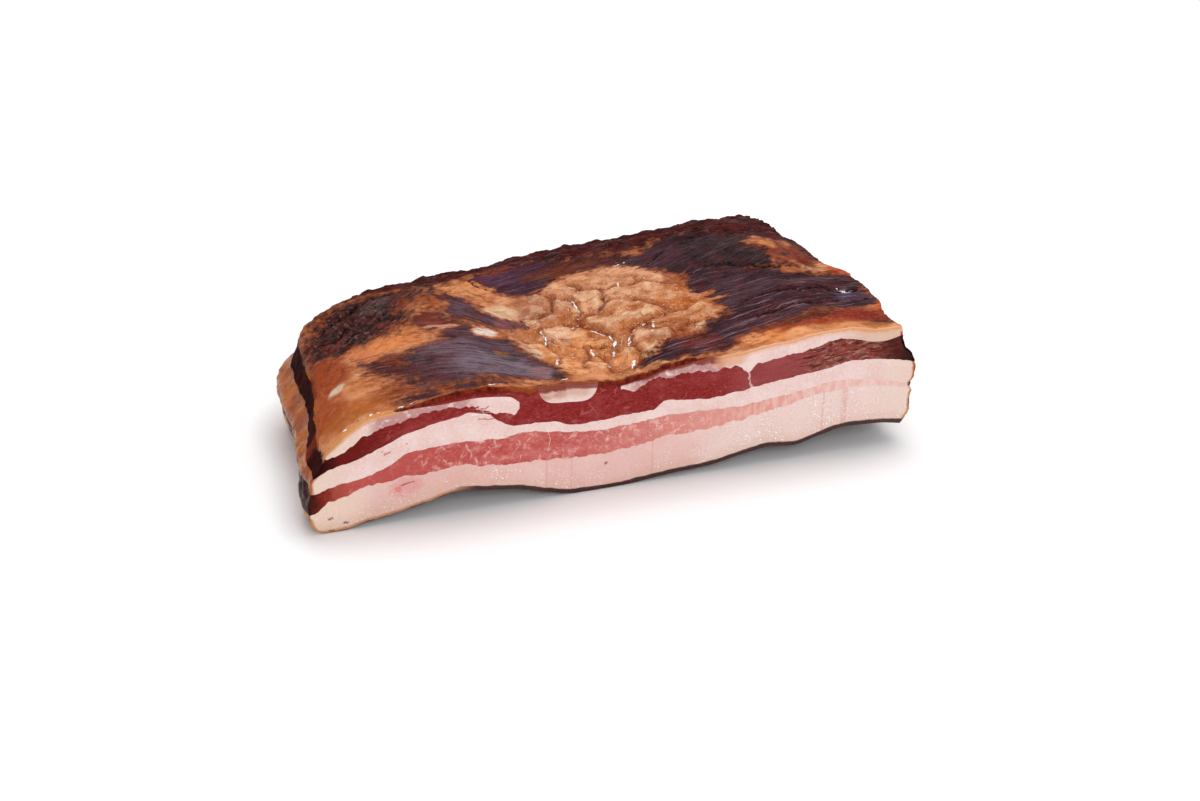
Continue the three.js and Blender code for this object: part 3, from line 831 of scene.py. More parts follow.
def bowl(name, middle, edge, floor, front_limit):
    """A bowl of fat under the top, with its edge at a given distance in each direction."""
    rings, turns = ((40, 160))

    def move(px, py, pz):
        out = np.hypot(px, py)
        safe = np.where(out > 1e-6, out, 1)
        far = edge(np.arctan2(py, px)) * np.sqrt(out)
        x = middle[0] + px / safe * far
        y = np.maximum(middle[1] + py / safe * far, front_limit)
        depth = np.where(pz > 0, IN_THE_AIR * pz, -pz * floor)
        return np.column_stack([x, y, top_form(x, np.maximum(y, 0)) - depth])

    def on_sphere(a, b):
        angle, height = a * 2 * math.pi, (b - 0.5) * math.pi
        flat = np.cos(height)
        return np.column_stack([flat * np.cos(angle), flat * np.sin(angle), np.sin(height)])

    points, faces = shell([squares(steps(turns), steps(rings), on_sphere)], move)
    faces = [list(dict.fromkeys(face)) for face in faces]
    return mesh_object(name, points, [face for face in faces if len(face) > 2])


def round_edge(angle):
    count = len(ROUND_EDGE)
    at = (angle / (2 * math.pi) * count) % count
    before = at.astype(int)
    edges = np.array(ROUND_EDGE, float)
    return lerp(edges[before % count], edges[(before + 1) % count], smooth(at - before, 0, 1))


def lobe_edge(angle):
    return 1 / np.hypot(np.cos(angle) / LOBE_SIZE[0], np.sin(angle) / LOBE_SIZE[1])


def combine(piece, other, operation):
    """Joins or cuts a piece with another closed mesh."""
    modifier = piece.modifiers.new(operation, "BOOLEAN")
    modifier.object = other
    modifier.operation = operation
    modifier.solver = "MANIFOLD"
    made = bpy.data.meshes.new_from_object(piece.evaluated_get(bpy.context.evaluated_depsgraph_get()))
    piece.modifiers.clear()
    piece.data = made


def copied(piece, name):
    twin = bpy.data.objects.new(name, piece.data.copy())
    bpy.context.scene.collection.objects.link(twin)
    return twin


def top_pieces():
    """The upper lean and the three pieces of fat that lie in it."""
    block = upper_part()
    fine, coarse = (steps(count) for count in (((150, 60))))
    middle = bowl("middle_round", ROUND_AT, round_edge, ROUND_FLOOR, ROUND_FRONT)
    lobe = bowl("middle_lobe", LOBE_AT, lobe_edge, LOBE_FLOOR, BEFORE_THE_CUT)
    combine(middle, lobe, "UNION")
    bpy.data.objects.remove(lobe)
    bodies = {
        "top_fat_left": mesh_object("left_body", *shell(box_patches(fine, coarse, steps(2)), left_fat)),
        "top_fat_middle": middle,
        "top_fat_right": mesh_object("right_body", *shell(box_patches(fine, coarse, steps(2)), right_fat)),
    }
    pieces = {"upper_lean": copied(block, "upper_lean_cured")}
    for node, body in bodies.items():
        pieces[node] = copied(block, node + "_cured")
        combine(pieces[node], body, "INTERSECT")
        combine(pieces["upper_lean"], body, "DIFFERENCE")
    for body in (*bodies.values(), block):
        bpy.data.objects.remove(body)
    return pieces


# Marks on the cut, as lines of x and z
CUT_MARKS = {
    "white_mark": [
        [(185.5, 46), (186, 42), (187.3, 37.8)],
        [(203.2, 32.4), (204.6, 31), (205.4, 29.2)],
        [(66, 46.6), (70, 45.6), (75, 45.8)],
        [(64, 44.4), (68, 43.9), (71.5, 43)],
        [(148, 48.6), (156, 50), (163, 50.6)],
        [(207, 32), (222, 34.4), (234, 33.4), (248, 31.6), (262, 28.6)],
        [(96, 33), (97.5, 27), (96.5, 22)],
        [(113, 29), (114.5, 24)],
        [(61, 31), (63.5, 26), (62, 22.5)],
        [(122, 28), (121, 22), (123, 18.5)],
        [(83, 31), (85.5, 25), (84, 19.5)],
    ],
    "red_mark": [
        [(33.2, 16.7), (36.5, 17.4), (38.8, 17.8)],
        [(65.4, 46.8), (66.6, 47.6)],
        [(69.6, 46.4), (70.6, 47.3)],
        [(26, 33.5), (26.4, 33.7)],
        [(12, 31), (12.3, 31.1)],
        [(36.3, 35.6), (36.6, 35.7)],
        [(27, 32), (29.5, 33)],
        [(66.5, 42.2), (71, 41.4), (75, 41.2)],
    ],
    "brown_mark": [
        [(3.2, 6), (4.4, 6.4)],
        [(9.6, 3.6), (10.6, 3.4)],
        [(3.4, 0.7), (4.8, 0.5)],
        [(95, 49.6), (97, 50.6), (99, 50.2)],
        [(101, 51.6), (104, 50.8)],
        [(108.5, 51.4), (111, 51)],
        [(112, 52.4), (120, 52.6), (131, 52)],
        [(122, 12), (122.4, 12.2)],
    ],
}


# What the materials read at each point of a mesh

def depths(at):
    """How deep a place lies under the top and under the nearest end or the back, in millimetres."""
    x, y, z = at.T
    low, high = underside(x, y), top(x, y)
    w = np.clip((z - low) / (high - low), 0, 1)
    behind = smooth(y / LEFT_DEPTH, 0, FRONT_REACH)
    left = x - left_edge(y) - lerp(left_inset_front(w), left_inset_behind(w), behind)
    right = right_edge(y) - right_inset(w) * lerp(1, RIGHT_INSET_BEHIND, behind) - x
    back = back_edge(x) - back_inset(w) - y
    for depth, seed in zip((left, right, back), END_SEEDS.values()):
        near = np.flatnonzero(depth < 6)
        depth[near] -= end_relief(at[near], seed)
    return high - z, left, right, back, z - low


SHARP_ANGLE = math.radians(48)


def store(mesh, key, kind, field, rows):
    """Gives every point of a mesh a value, a vector or a colour."""
    mesh.attributes.new(key, kind, "POINT").data.foreach_set(field, rows.astype(np.float32).ravel())


def finish_piece(piece, node, material):
    """Gives a piece its material and the values that it reads, moves it into the frame, hangs it under the
    root and hides the part of its node.
    """
    mesh = piece.data
    at = np.empty(len(mesh.vertices) * 3, np.float32)
    mesh.vertices.foreach_get("co", at)
    at = at.reshape(-1, 3).astype(float)
    x, y, z = at.T
    zero = np.zeros(len(at))
    above, left, right, back, below = depths(at)
    values = dict(above=above, side=np.minimum.reduce([left, right, back]), below=below)
    values.update({key: read(numbers, x, y) for key, numbers in MAPS["values"].items()})
    for key, numbers in values.items():
        store(mesh, key, "FLOAT", "value", numbers)
    ways = {key: [read(way, x, y), zero] for key, way in MAPS["lines"].items()}
    ways["along"] = [read(MAPS["along"], x, y), z]
    ways.update({key: [offsets(at[:, [0, 2]], marks), zero] for key, marks in CUT_MARKS.items()})
    for key, parts in ways.items():
        store(mesh, key, "FLOAT_VECTOR", "vector", np.column_stack(parts))
    for key, tones in MAPS["tones"].items():
        store(mesh, key, "FLOAT_COLOR", "color", np.column_stack([read(tones, x, y), zero + 1]))
    mesh.vertices.foreach_set("co", ((at - MIDDLE) * MM).astype(np.float32).ravel())
    mesh.polygons.foreach_set("use_smooth", np.ones(len(mesh.polygons), bool))
    mesh.set_sharp_from_angle(angle=SHARP_ANGLE)
    mesh.update()
    mesh.materials.clear()
    mesh.materials.append(material)
    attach(piece, "root")
    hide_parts(node)


# Materials

class Value:
    """A number, vector or colour that a material works out at each place; sums of it are nodes too."""

    def __init__(self, shader, socket):
        self.shader = shader
        self.socket = socket

    def __add__(self, other):
        return self.shader.maths("ADD", self, other)

    def __sub__(self, other):
        return self.shader.maths("SUBTRACT", self, other)

    def __rsub__(self, other):
        return self.shader.maths("SUBTRACT", other, self)

    def __mul__(self, other):
        return self.shader.maths("MULTIPLY", self, other)

    def __truediv__(self, other):
        return self.shader.maths("DIVIDE", self, other)

    def __pow__(self, other):
        return self.shader.maths("POWER", self, other)

    def __abs__(self):
        return self.shader.maths("ABSOLUTE", self)

    def larger(self, other):
        return self.shader.maths("MAXIMUM", self, other)

    def around(self, amount):
        """A share from 0 to 1 drawn out to run from minus to plus an amount."""
        return self.shader.maths("MULTIPLY_ADD", self, amount * 2, -amount)

    def rise(self, low, high, bottom=0, top=1):
        """A smooth turn from one number to another as this one goes from low to high."""
        if low > high:
            low, high, bottom, top = high, low, top, bottom
        node = self.shader.node("ShaderNodeMapRange", self, low, high, bottom, top)
        node.interpolation_type = "SMOOTHSTEP"
        return Value(self.shader, node.outputs[0])

    def window(self, start, end, fade):
        """1 between two numbers, fading out past both."""
        return self.rise(start - fade, start) * self.rise(end + fade, end)

    def tinted(self, *coats):
        """Lays colours over this one: each coat is a share, a colour and a strength."""
        base = self
        for share, tone, strength in coats:
            base = self.shader.mix(share * strength, base, tone)
        return base

    def bump(self, height, under=None):
        """The bumps that this share makes up to a height, over other bumps."""
        node = self.shader.node("ShaderNodeBump")
        node.inputs["Strength"].default_value = 1
        node.inputs["Distance"].default_value = height * MM
        self.shader.plug(node.inputs["Height"], self)
        if under:
            self.shader.plug(node.inputs["Normal"], under)
        return Value(self.shader, node.outputs[0])


class Shader:
    """A node material that is put together with short calls. Its coordinates are the slab's millimetres."""

    def __init__(self, name):
        self.material = bpy.data.materials.new(name)
        self.material.use_nodes = True
        self.tree = self.material.node_tree
        self.tree.nodes.clear()
        coordinates = Value(self, self.node("ShaderNodeTexCoord").outputs["Object"])
        self.at = self.vector("ADD", self.vector("MULTIPLY", coordinates, (1 / MM,) * 3), tuple(MIDDLE))
        parts = self.node("ShaderNodeSeparateXYZ", self.at).outputs
        self.x, self.y, self.z = (Value(self, part) for part in parts)

    def plug(self, socket, value):
        if isinstance(value, Value):
            self.tree.links.new(value.socket, socket)
        elif socket.type == "RGBA":
            socket.default_value = (*colour(value), 1)
        else:
            socket.default_value = value

    def node(self, kind, *values):
        """A node with its first inputs filled in."""
        node = self.tree.nodes.new(kind)
        for socket, value in zip(node.inputs, values):
            self.plug(socket, value)
        return node

    def maths(self, operation, *values):
        node = self.node("ShaderNodeMath", *values)
        node.operation = operation
        return Value(self, node.outputs[0])

    def vector(self, operation, *values, output="Vector"):
        node = self.node("ShaderNodeVectorMath", *values)
        node.operation = operation
        return Value(self, node.outputs[output])

    def mix(self, share, a, b):
        node = self.tree.nodes.new("ShaderNodeMix")
        node.data_type = "RGBA"
        for number, value in ((0, share), (6, a), (7, b)):
            self.plug(node.inputs[number], value)
        return Value(self, node.outputs[2])

    def value(self, name, output="Fac"):
        """What the points of the mesh carry under a name."""
        node = self.node("ShaderNodeAttribute")
        node.attribute_name = name
        return Value(self, node.outputs[output])

    def scaled(self, size, at=None):
        """Places divided by a size in millimetres, or by a size along each axis."""
        return self.vector("DIVIDE", at or self.at, size if isinstance(size, tuple) else (size,) * 3)

    def noise(self, size, detail=3, at=None, distortion=0, roughness=0.55):
        """Noise from 0 to 1 with lumps of a size."""
        node = self.node("ShaderNodeTexNoise", self.scaled(size, at))
        numbers = {"Scale": 1, "Detail": detail, "Roughness": roughness, "Distortion": distortion}
        for name, number in numbers.items():
            node.inputs[name].default_value = number
        return Value(self, node.outputs["Fac"])

    def wobble(self, at, scale=1):
        """Noise from 0 to 1 along each axis, which bends a pattern."""
        node = self.node("ShaderNodeTexNoise", at)
        node.inputs["Scale"].default_value = scale
        return Value(self, node.outputs["Color"])

    def uneven(self, size, amount, detail=3):
        """Noise from minus to plus an amount."""
        return self.noise(size, detail).around(amount)

    def veins(self, size, bent_by, width, seed=0):
        """Thin lines between cells: 1 on a line."""
        places = self.scaled(size, self.vector("ADD", self.at, (seed,) * 3))
        bend = self.vector("MULTIPLY", self.wobble(places, 1.3), (bent_by,) * 3)
        node = self.node("ShaderNodeTexVoronoi", self.vector("ADD", places, bend))
        node.feature = "DISTANCE_TO_EDGE"
        node.inputs["Scale"].default_value = 1
        return Value(self, node.outputs["Distance"]).rise(width, width * 0.2)

    def oval(self, x, z, half_length, half_height, slope=0, wobble=0.25):
        """1 inside a small oval mark on the cut, with an uneven edge."""
        dx = self.x - x
        dz = self.z - z - dx * slope
        far = abs(dx / half_length) ** 2 + abs(dz / half_height) ** 2
        return (far + self.uneven(1.5, wobble * 2, 2)).rise(1.3, 0.5)

    def line(self, key, width, wander=0.5):
        """1 on the lines that an attribute leads to, here thicker and there thinner."""
        sideways = self.vector("SUBTRACT", self.wobble(self.scaled(1.8)), (0.5,) * 3)
        sideways = self.vector("MULTIPLY", sideways, (wander * 2, wander * 2, 0))
        away = self.vector("LENGTH", self.vector("ADD", self.value(key, "Vector"), sideways), output="Value")
        return (away / self.noise(2.6, 2).rise(0.3, 0.65, width * 0.35, width)).rise(1, 0.35)

    def bitten(self, low, high, key, amount=1.2, size=2.2):
        """A turn from 1 to 0 between two depths, with an uneven edge."""
        return (self.value(key) + self.uneven(size, amount)).rise(high, low)

    def sparkles(self, size, low, where):
        """Painted highlights: small points of wet light."""
        return self.noise(size, 1).rise(low, low + 0.05) * where

    def surface(self, base, roughness, normal, **constants):
        shader = self.node("ShaderNodeBsdfPrincipled")
        self.plug(shader.inputs["Base Color"], base)
        self.plug(shader.inputs["Roughness"], roughness)
        self.plug(shader.inputs["Normal"], normal)
        for name, value in constants.items():
            shader.inputs[name.replace("_", " ")].default_value = value
        output = self.tree.nodes.new("ShaderNodeOutputMaterial")
        self.tree.links.new(shader.outputs[0], output.inputs[0])
        return self.material


def fat_cut(shader):
    """Fresh fat: pinkish white, mottled, creamier near the ends."""
    return shader.mix(shader.noise(12, 4).rise(0.35, 0.65), (238, 212, 206), (231, 197, 190)).tinted(
        (shader.noise(1.2).rise(0.45, 0.7), (244, 226, 220), 0.5),
        (shader.noise(2.4, 4).rise(0.42, 0.3), (220, 172, 166), 0.35),
        (shader.value("side").rise(24, 3), (229, 204, 184), 0.6),
    )


def fat_relief(shader):
    return shader.noise(0.9).bump(0.2, shader.noise(4).bump(0.5))


def lean_cut(shader, red, dark, pale):
    """Fresh lean: red with short fibres, some paler and some darker."""
    fibres = shader.noise((2.2, 2.2, 0.9), 5, distortion=0.9, roughness=0.65)
    return shader.mix(fibres.rise(0.36, 0.64), dark, red).tinted(
        (shader.noise((16, 16, 6), 4).rise(0.46, 0.66), pale, 0.5),
        (shader.noise((10, 10, 4), 4).rise(0.46, 0.34), dark, 0.5),
        (shader.noise((1.3, 1.3, 0.6), 4, distortion=0.6).rise(0.57, 0.68), pale, 0.9),
        (shader.noise(0.6, 2).rise(0.4, 0.28), dark, 0.8),
    )


def end_tones(shader, light, dark, speckle):
    """The smoked skin of an end, stained by the smoke."""
    stains = shader.noise((26, 26, 14), 4).rise(0.5, 0.64) * shader.y.rise(95, 125)
    smoke = shader.noise((40, 40, 20)).rise(0.36, 0.56) * shader.y.rise(90, 128)
    return shader.mix(shader.noise(11, 5).rise(0.4, 0.62), light, dark).tinted(
        (shader.noise(1.8, 4).rise(0.56, 0.7), speckle, 0.55),
        (stains, (52, 25, 17), 0.9),
        (smoke, (84, 42, 24), 0.6),
    )


def skinned(shader, base, end, depth):
    """The skin of a layer: all behind the cut, and a rim of it on the cut."""
    behind = (shader.y + shader.uneven(1.6, 0.4)).rise(0.7, 1.2)
    return shader.mix(behind.larger(shader.bitten(0.5, depth, "side", 0.8)), base, end)


# Lines that the knife left across the back fat: x and half width
KNIFE_LINES = [(107, 0.2), (96, 0.3), (143, 0.25), (231.5, 1.6), (221.5, 0.4)]


def back_fat_material():
    shader = Shader("back fat")
    x, below = shader.x, shader.value("below")
    base = fat_cut(shader).tinted(
        (x.window(-10, 12, 14), (236, 208, 188), 0.7),
        (x.window(30, 60, 24), (214, 160, 146), 0.5),
        (x.window(66, 150, 30), (228, 178, 168), 0.6),
        (x.window(190, 280, 30), (234, 206, 196), 0.5),
        (below.rise(8, 2), (220, 180, 156), 0.4),
        (shader.oval(35.5, 15.8, 7.5, 4.6, 0.1, 0.4), (222, 126, 126), 0.4),
        (shader.oval(32.4, 15.2, 1.8, 1.5, 0, 0.3), (216, 96, 100), 0.5),
    )
    for line_x, width in KNIFE_LINES:
        base = base.tinted((abs(x - line_x).rise(width + 0.3, width * 0.5), (214, 152, 142), 0.4))
    # Where painted highlights go: white wet sparkles low on the fat and along its right part
    wet = below.rise(14, 6) * shader.noise(9, 2).rise(0.45, 0.6)
    wetter = x.window(180, 246, 8) * shader.noise(12, 2).rise(0.4, 0.56)
    base = base.tinted(
        (shader.line("red_mark", 0.65, 0.2), (178, 34, 44), 0.9),
        (shader.line("brown_mark", 1), (120, 66, 40), 0.8),
        (shader.sparkles(0.75, 0.63, wet.larger(wetter)), (255, 254, 253), 1),
    )
    base = skinned(shader, base, end_tones(shader, (196, 140, 84), (150, 88, 46), (92, 48, 26)), 1.9)
    rind = shader.mix(shader.noise(5), (34, 15, 11), (92, 42, 22))
    depth = below + shader.uneven(6, -0.6, 2)
    past_corner = x.rise(52, 66).larger(shader.y.rise(1.5, 4))
    is_rind = (depth.rise(2.4, 1.7) * past_corner).larger(depth.rise(0.3, 0.05))
    base = shader.mix(is_rind, base.tinted((depth.rise(2, 0.5), (176, 112, 66), 0.8)), rind)
    roughness = shader.noise(6, 4).rise(0.35, 0.65, 0.16, 0.46)
    return shader.surface(base, roughness, fat_relief(shader), Subsurface_Weight=0.1, Subsurface_Scale=0.003,
                          Specular_IOR_Level=0.45)


def lower_lean_material():
    shader = Shader("marbled lean")
    x = shader.x
    left = x + shader.uneven(5, 6)
    drawn_out = shader.noise((2.5, 2.5, 7)).rise(0.42, 0.6)
    strong = x.window(66, 150, 40) * shader.noise(15).rise(0.4, 0.6)
    net = shader.veins((7, 7, 8.5), 1.1, 0.1)
    branches = shader.veins((3, 3, 4), 1.2, 0.11, 7)
    broken = shader.noise(3).rise(0.4, 0.62)
    base = lean_cut(shader, (202, 108, 103), (178, 84, 80), (214, 130, 124)).tinted(
        (x.rise(84, 205), (232, 168, 156), 0.85),
        (x.rise(70, 45), (186, 92, 88), 0.7),
        (x.rise(190, 245), (236, 194, 184), 0.75),
        (drawn_out * x.rise(150, 215), (240, 210, 200), 0.6),
        (net * (strong * 0.8 + 0.12) * broken, (238, 190, 180), 1),
        (branches * strong * broken, (228, 168, 158), 0.5),
        (shader.line("white_mark", 0.4) * broken, (238, 204, 196), 0.6),
        # Painted highlights: white wet sparkles
        (shader.sparkles(0.8, 0.7, x.window(140, 160, 8)), (255, 250, 250), 1),
        (left.rise(15, 7), (160, 84, 68), 0.7),
        (left.rise(8, 1), (132, 58, 38), 0.95),
        (left.rise(3, -4), (84, 34, 20), 1),
    )
    base = skinned(shader, base, end_tones(shader, (74, 24, 10), (52, 12, 5), (112, 52, 22)), 2.2)
    roughness = shader.noise(6).rise(0.3, 0.7, 0.3, 0.5)
    normal = shader.noise((1.4, 1.4, 0.6)).bump(0.2, shader.noise(4).bump(0.3))
    return shader.surface(base, roughness, normal, Subsurface_Weight=0.05, Subsurface_Scale=0.002,
                          Specular_IOR_Level=0.1)


def middle_fat_material():
    shader = Shader("soft fat")
    base = fat_cut(shader).tinted(
        (shader.line("red_mark", 0.6), (176, 84, 80), 0.75),
        (shader.line("white_mark", 0.6), (246, 228, 222), 0.8),
    )
    base = skinned(shader, base, end_tones(shader, (178, 104, 46), (150, 82, 32), (112, 54, 18)), 1.9)
    roughness = shader.noise(6, 4).rise(0.35, 0.65, 0.18, 0.48)
    return shader.surface(base, roughness, fat_relief(shader), Subsurface_Weight=0.1, Subsurface_Scale=0.003,
                          Specular_IOR_Level=0.3)


def smoked_top(shader):
    """The smoked top: streaky lean and fat that run into each other, with their ribs and lobules, painted
    shade in creases, cracks and gaps, and painted highlights.
    """
    along = shader.value("along", "Vector")
    streaks = shader.noise((10, 2.2, 6), 5, along, 0.5, 0.62)
    threads = shader.noise((24, 1.1, 5), 4, along, 0.3, 0.6)
    fine = shader.noise((4.5, 0.5, 3), 3, along, 0.3, 0.65)
    lumps = shader.noise(3.4, 4)
    centre, stripes_and_sheen, tangle = (shader.value(key) for key in ("centre", "stripes_and_sheen", "tangle"))
    elsewhere = (1 - centre) * shader.value("edge").rise(-17, -2, 0.12)
    edge = shader.value("edge") + streaks.around(8.5) + lumps.around(4.5)
    border = abs(edge).rise(4.5, 0.5)
    lobules = shader.veins((12, 10, 40), 1.3, 0.14) * centre
    # On the lean the pale threads and fine lines are painted sheen along the fibres; the dark lines are
    # partly the lean's own colour and partly painted shade in the grooves between the ribs
    lean = shader.value("lean", "Color").tinted(
        (streaks.rise(0.5, 0.36), (30, 9, 9), 0.6),
        (shader.noise(6, 4).rise(0.5, 0.66), (100, 42, 28), 0.35),
        (threads.rise(0.47, 0.36), (28, 10, 11), stripes_and_sheen * 0.4 + 0.3),
        (threads.rise(0.54, 0.66) * stripes_and_sheen, (146, 128, 138), 0.6),
        (fine.rise(0.44, 0.33), (22, 8, 8), 0.55),
        (fine.rise(0.58, 0.7), (140, 112, 116), 0.25),
        (border, (70, 24, 16), 0.6),
    )
    fat = shader.value("fat", "Color").tinted(
        (streaks.rise(0.52, 0.36) * elsewhere, (112, 56, 30), 0.65),
        (lumps.rise(0.5, 0.66), (150, 82, 42), 0.45),
        (lumps.rise(0.46, 0.32), (232, 182, 138), centre * 0.25 + 0.1),
        (fine.rise(0.54, 0.7) * elsewhere, (226, 170, 120), 0.12),
        (fine.rise(0.44, 0.32) * elsewhere, (96, 46, 24), 0.45),
        (border * elsewhere, (134, 68, 32), 0.6),
        # Painted shade along the sunken lines between the lobules
        (lobules, (158, 92, 58), 0.28),
    )
    crust = shader.mix(shader.noise((2.6, 3, 3), 5).rise(0.38, 0.62), (164, 98, 54), (104, 44, 22))
    base = shader.mix(edge.rise(-2.6, 2.6), fat, lean)
    base = shader.mix(shader.value("lip") * 0.85, base, crust)
    # Painted shade in the gaps between the lumps of the tangled dark zone, and painted grey highlights on the
    # lumps
    shaded_gaps = shader.veins((9, 6, 7), 1.6, 0.2, 2) * shader.noise(5).rise(0.38, 0.55)
    base = base.tinted(
        # Painted shade in the creases of the sunken middle fat
        (shader.line("crease", 1.1) * centre, (116, 60, 36), 0.6),
        (tangle * shaded_gaps, (22, 9, 7), 0.85),
        (tangle * shader.noise(2.2, 5).rise(0.56, 0.68), (134, 118, 118), 0.45),
        # Painted shade in the cracks, which the relief also sinks
        (shader.line("crack", 1.1, 0.9), (18, 7, 7), 0.85),
        (shader.noise(0.9, 2).rise(0.66, 0.72), (58, 26, 16), 0.5),
        # Painted highlights: the white glints along the lines of GLINTS
        (shader.line("glint", 0.75, 1.1) * shader.noise(2.2, 2).rise(0.4, 0.5), (254, 250, 246), 1),
        # Painted highlights: white wet sparkles, most of them in the sunken middle fat
        (shader.sparkles(0.6, 0.68, centre * 0.75 + 0.06), (252, 246, 240), 1),
    )
    ribs = streaks * elsewhere.larger(edge.rise(-2, 2))
    return base, ribs, lobules


def top_surface(shader, cut, wall):
    """Puts the smoked top, the fresh cut and the wall of an upper piece together."""
    smoked, ribs, lobules = smoked_top(shader)
    fresh = (shader.y + shader.uneven(1.6, 0.4)).rise(1.1, 0.7)
    lower = shader.value("above") + shader.uneven(5, 1.5)
    is_wall = shader.value("side").rise(1.8, 0.8) * lower.rise(1.4, 2.8)
    base = shader.mix(is_wall, shader.mix(fresh, smoked, cut), wall)
    skin = shader.value("wet") * -0.34 + 0.6 + shader.noise(5).rise(0.3, 0.7, 0.12, -0.08)
    roughness = (skin * (1 - fresh) + fresh * 0.38).larger(is_wall * 0.85)
    normal = (ribs * (1 - fresh)).bump(0.8, shader.noise(1.2).bump(0.3))
    normal = (shader.noise(2.8) * shader.value("centre")).bump(1.6, lobules.bump(-0.5, normal))
    return base, roughness, normal


def upper_lean_material():
    shader = Shader("dark lean")
    x = shader.x
    uneven_x = x + shader.uneven(5, 5)
    gloom = shader.noise((6, 4, 1.3), 4, distortion=0.6).rise(0.5, 0.38)
    flecks = shader.noise((3.6, 3, 0.9), 5, distortion=0.8, roughness=0.7).rise(0.49, 0.62)
    veins = shader.veins((14, 14, 8), 1.2, 0.05, 3) * shader.noise(7, 2).rise(0.5, 0.62)
    cut = lean_cut(shader, (152, 68, 67), (130, 50, 50), (166, 86, 85)).tinted(
        (x.rise(165, 200), (160, 92, 94), 0.6),
        (x.rise(200, 228), (128, 70, 60), 0.75),
        (x.rise(200, 225) * flecks, (184, 150, 138), 0.65),
        (x.rise(196, 215) * gloom, (84, 30, 26), 0.8),
        (veins, (190, 120, 114), 0.4),
        (shader.line("white_mark", 0.8, 0.9), (226, 190, 184), 0.8),
        (uneven_x.rise(40, 14), (104, 26, 14), 0.8),
        (uneven_x.rise(10, 3), (64, 12, 6), 0.9),
        (uneven_x.rise(240, 256), (84, 42, 38), 0.9),
        (uneven_x.rise(256, 263), (40, 28, 28), 0.9),
        (shader.bitten(1.2, 3.6, "above", 1.2, 3), (104, 26, 16), 0.85),
        (shader.line("brown_mark", 0.8), (34, 12, 8), 0.8),
    )
    crust = shader.mix(shader.noise((2.2, 3, 3), 5).rise(0.38, 0.62), (134, 64, 34), (88, 24, 13))
    crust = crust.tinted((x.window(80, 94, 5), (166, 92, 62), 0.6))
    cut = shader.mix(shader.bitten(0.7, 2.1, "above", 1.2, 2.6), cut, crust)
    seam = (shader.y + shader.uneven(4, 4)).window(17, 24, 3) * x.rise(40, 20)
    wall = end_tones(shader, (70, 18, 12), (50, 10, 10), (88, 36, 18)).tinted((seam, (138, 66, 32), 0.65))
    return shader.surface(*top_surface(shader, cut, wall), Subsurface_Weight=0.03, Subsurface_Scale=0.002,
                          Specular_IOR_Level=0.06)


def smoked_fat_material():
    shader = Shader("smoked fat")
    x = shader.x
    uneven = shader.uneven(2.4, 0.8)
    depth = shader.value("above") + uneven
    thin = x.window(26, 60, 8).larger(x.window(136, 172, 6)) * shader.noise(3).rise(0.3, 0.5)
    stain = x.window(90, 102, 3) * shader.noise((5, 5, 2)).rise(0.4, 0.52)
    cut = fat_cut(shader).tinted(
        (shader.line("red_mark", 0.6), (170, 60, 58), 0.85),
        (shader.line("brown_mark", 0.8), (132, 72, 44), 0.8),
        (thin, (180, 126, 124), 0.8),
        (stain * depth.rise(7, 4), (164, 106, 82), 0.6),
        (x.window(92, 112, 5) * depth.rise(8, 4), (204, 154, 134), 0.6),
        (x.rise(222, 240), (210, 168, 140), 0.5),
        (depth.rise(6, 3.5) * x.window(172, 181, 6), (222, 164, 128), 0.7),
        (depth.rise(2.6, 1) * x.rise(162, 176), (226, 176, 142), 0.5),
        (depth.rise(1.1, 0.3), (214, 152, 108), 0.7),
        (depth.rise(3.2, 2) * x.window(86, 168, 6), (128, 56, 32), 0.85),
    )
    wall = end_tones(shader, (176, 100, 46), (128, 62, 28), (80, 38, 20))
    base, roughness, normal = top_surface(shader, cut, wall)
    behind = (shader.y + uneven * 1.4).window(1.3, 2.6, 1.2) * x.window(2, 34, 10)
    return shader.surface(base.tinted((behind, (214, 152, 92), 0.6)), roughness, normal,
                          Subsurface_Weight=0.08, Subsurface_Scale=0.003, Specular_IOR_Level=0.07)


# The pieces

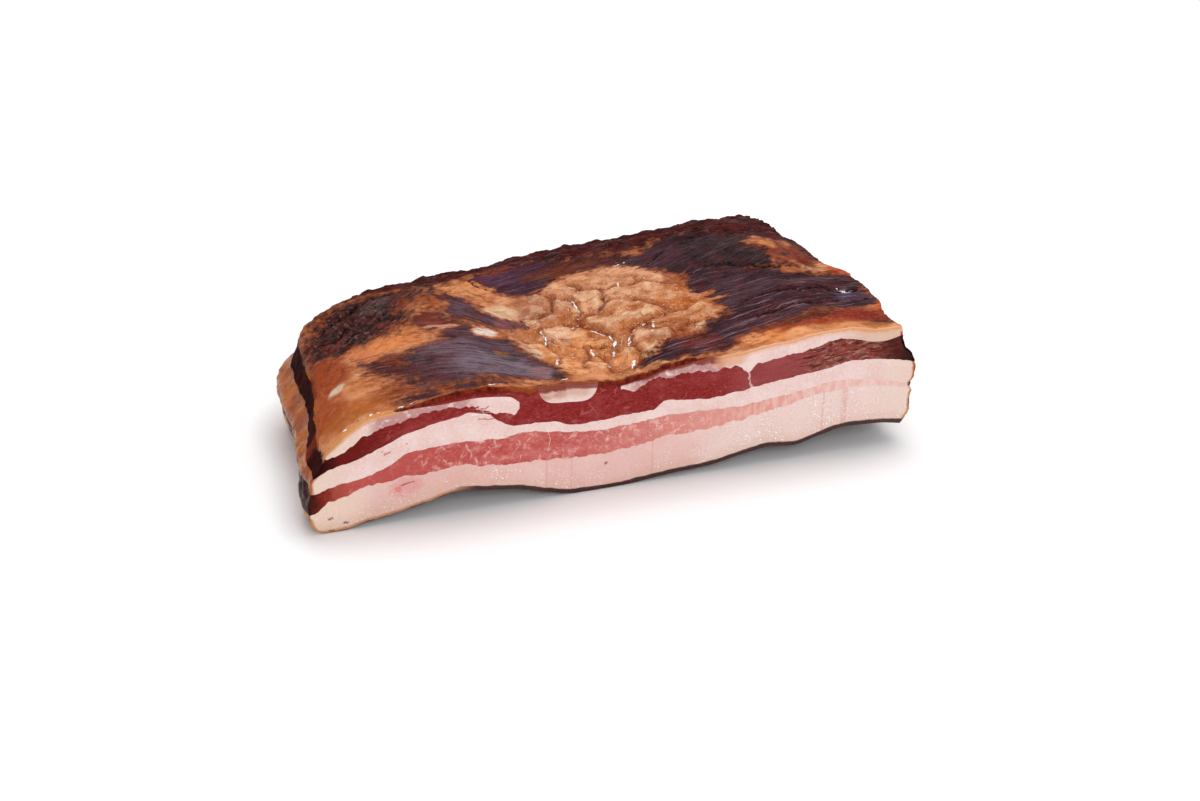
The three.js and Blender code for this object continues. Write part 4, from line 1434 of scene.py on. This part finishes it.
def build_slab():
    lower = layer("back_fat_cured", None, BACK_FAT_TOP, 22, 0.6)
    finish_piece(lower, "back_fat", back_fat_material())
    lean = layer("lower_lean_cured", BACK_FAT_TOP, LOWER_LEAN_TOP, 12, 0.2)
    finish_piece(lean, "lower_lean", lower_lean_material())
    fat = layer("middle_fat_cured", LOWER_LEAN_TOP, MIDDLE_FAT_TOP, 9, 0.6)
    finish_piece(fat, "middle_fat", middle_fat_material())
    upper = top_pieces()
    finish_piece(upper.pop("upper_lean"), "upper_lean", upper_lean_material())
    smoked_fat = smoked_fat_material()
    for node, piece in upper.items():
        finish_piece(piece, node, smoked_fat)


# Floor, light and camera

def build_stage():
    bpy.ops.mesh.primitive_plane_add(size=8, location=(0, 0, -0.0002))
    floor = bpy.context.object
    floor.name = "floor"
    material = bpy.data.materials.new("pale floor")
    material.use_nodes = True
    shader = material.node_tree.nodes["Principled BSDF"]
    shader.inputs["Base Color"].default_value = (0.9, 0.895, 0.9, 1)
    shader.inputs["Roughness"].default_value = 0.7
    floor.data.materials.append(material)
    world = bpy.data.worlds.new("soft white room")
    bpy.context.scene.world = world
    world.use_nodes = True
    background = world.node_tree.nodes["Background"]
    background.inputs["Color"].default_value = (1, 0.995, 1, 1)
    background.inputs["Strength"].default_value = 0.58
    bpy.context.scene.view_settings.view_transform = "Standard"


def area_light(name, place_at, aim, size, power):
    data = bpy.data.lights.new(name, "AREA")
    data.shape = "RECTANGLE"
    data.size, data.size_y = size
    data.energy = power
    light = bpy.data.objects.new(name, data)
    light.location = place_at
    light.rotation_euler = (Vector(aim) - Vector(place_at)).to_track_quat("-Z", "Y").to_euler()
    bpy.context.scene.collection.objects.link(light)


def build_lights():
    area_light("overhead", (0.25, 0.35, 1.3), (0, 0, 0.03), (1.3, 0.9), 14)
    area_light("front", (-0.1, -1.3, 0.75), (0, 0, 0.03), (1.2, 0.7), 6.5)


def build_camera():
    """The camera where the photograph was taken from: 66 mm lens, 28 degrees down."""
    data = bpy.data.cameras.new("camera")
    data.sensor_width = 36
    data.lens = 66
    data.clip_start = 0.01
    camera = bpy.data.objects.new("camera", data)
    right = Vector((0.94156, -0.33627, 0.01956)).normalized()
    ahead = Vector((0.30632, 0.83068, -0.46491)).normalized()
    above = right.cross(ahead).normalized()
    turn = Matrix((right, above, -ahead)).transposed().to_4x4()
    camera.matrix_world = Matrix.Translation((-0.28905, -0.83296, 0.46488)) @ turn
    bpy.context.scene.collection.objects.link(camera)
    bpy.context.scene.camera = camera


build_slab()
build_stage()
build_lights()
build_camera()
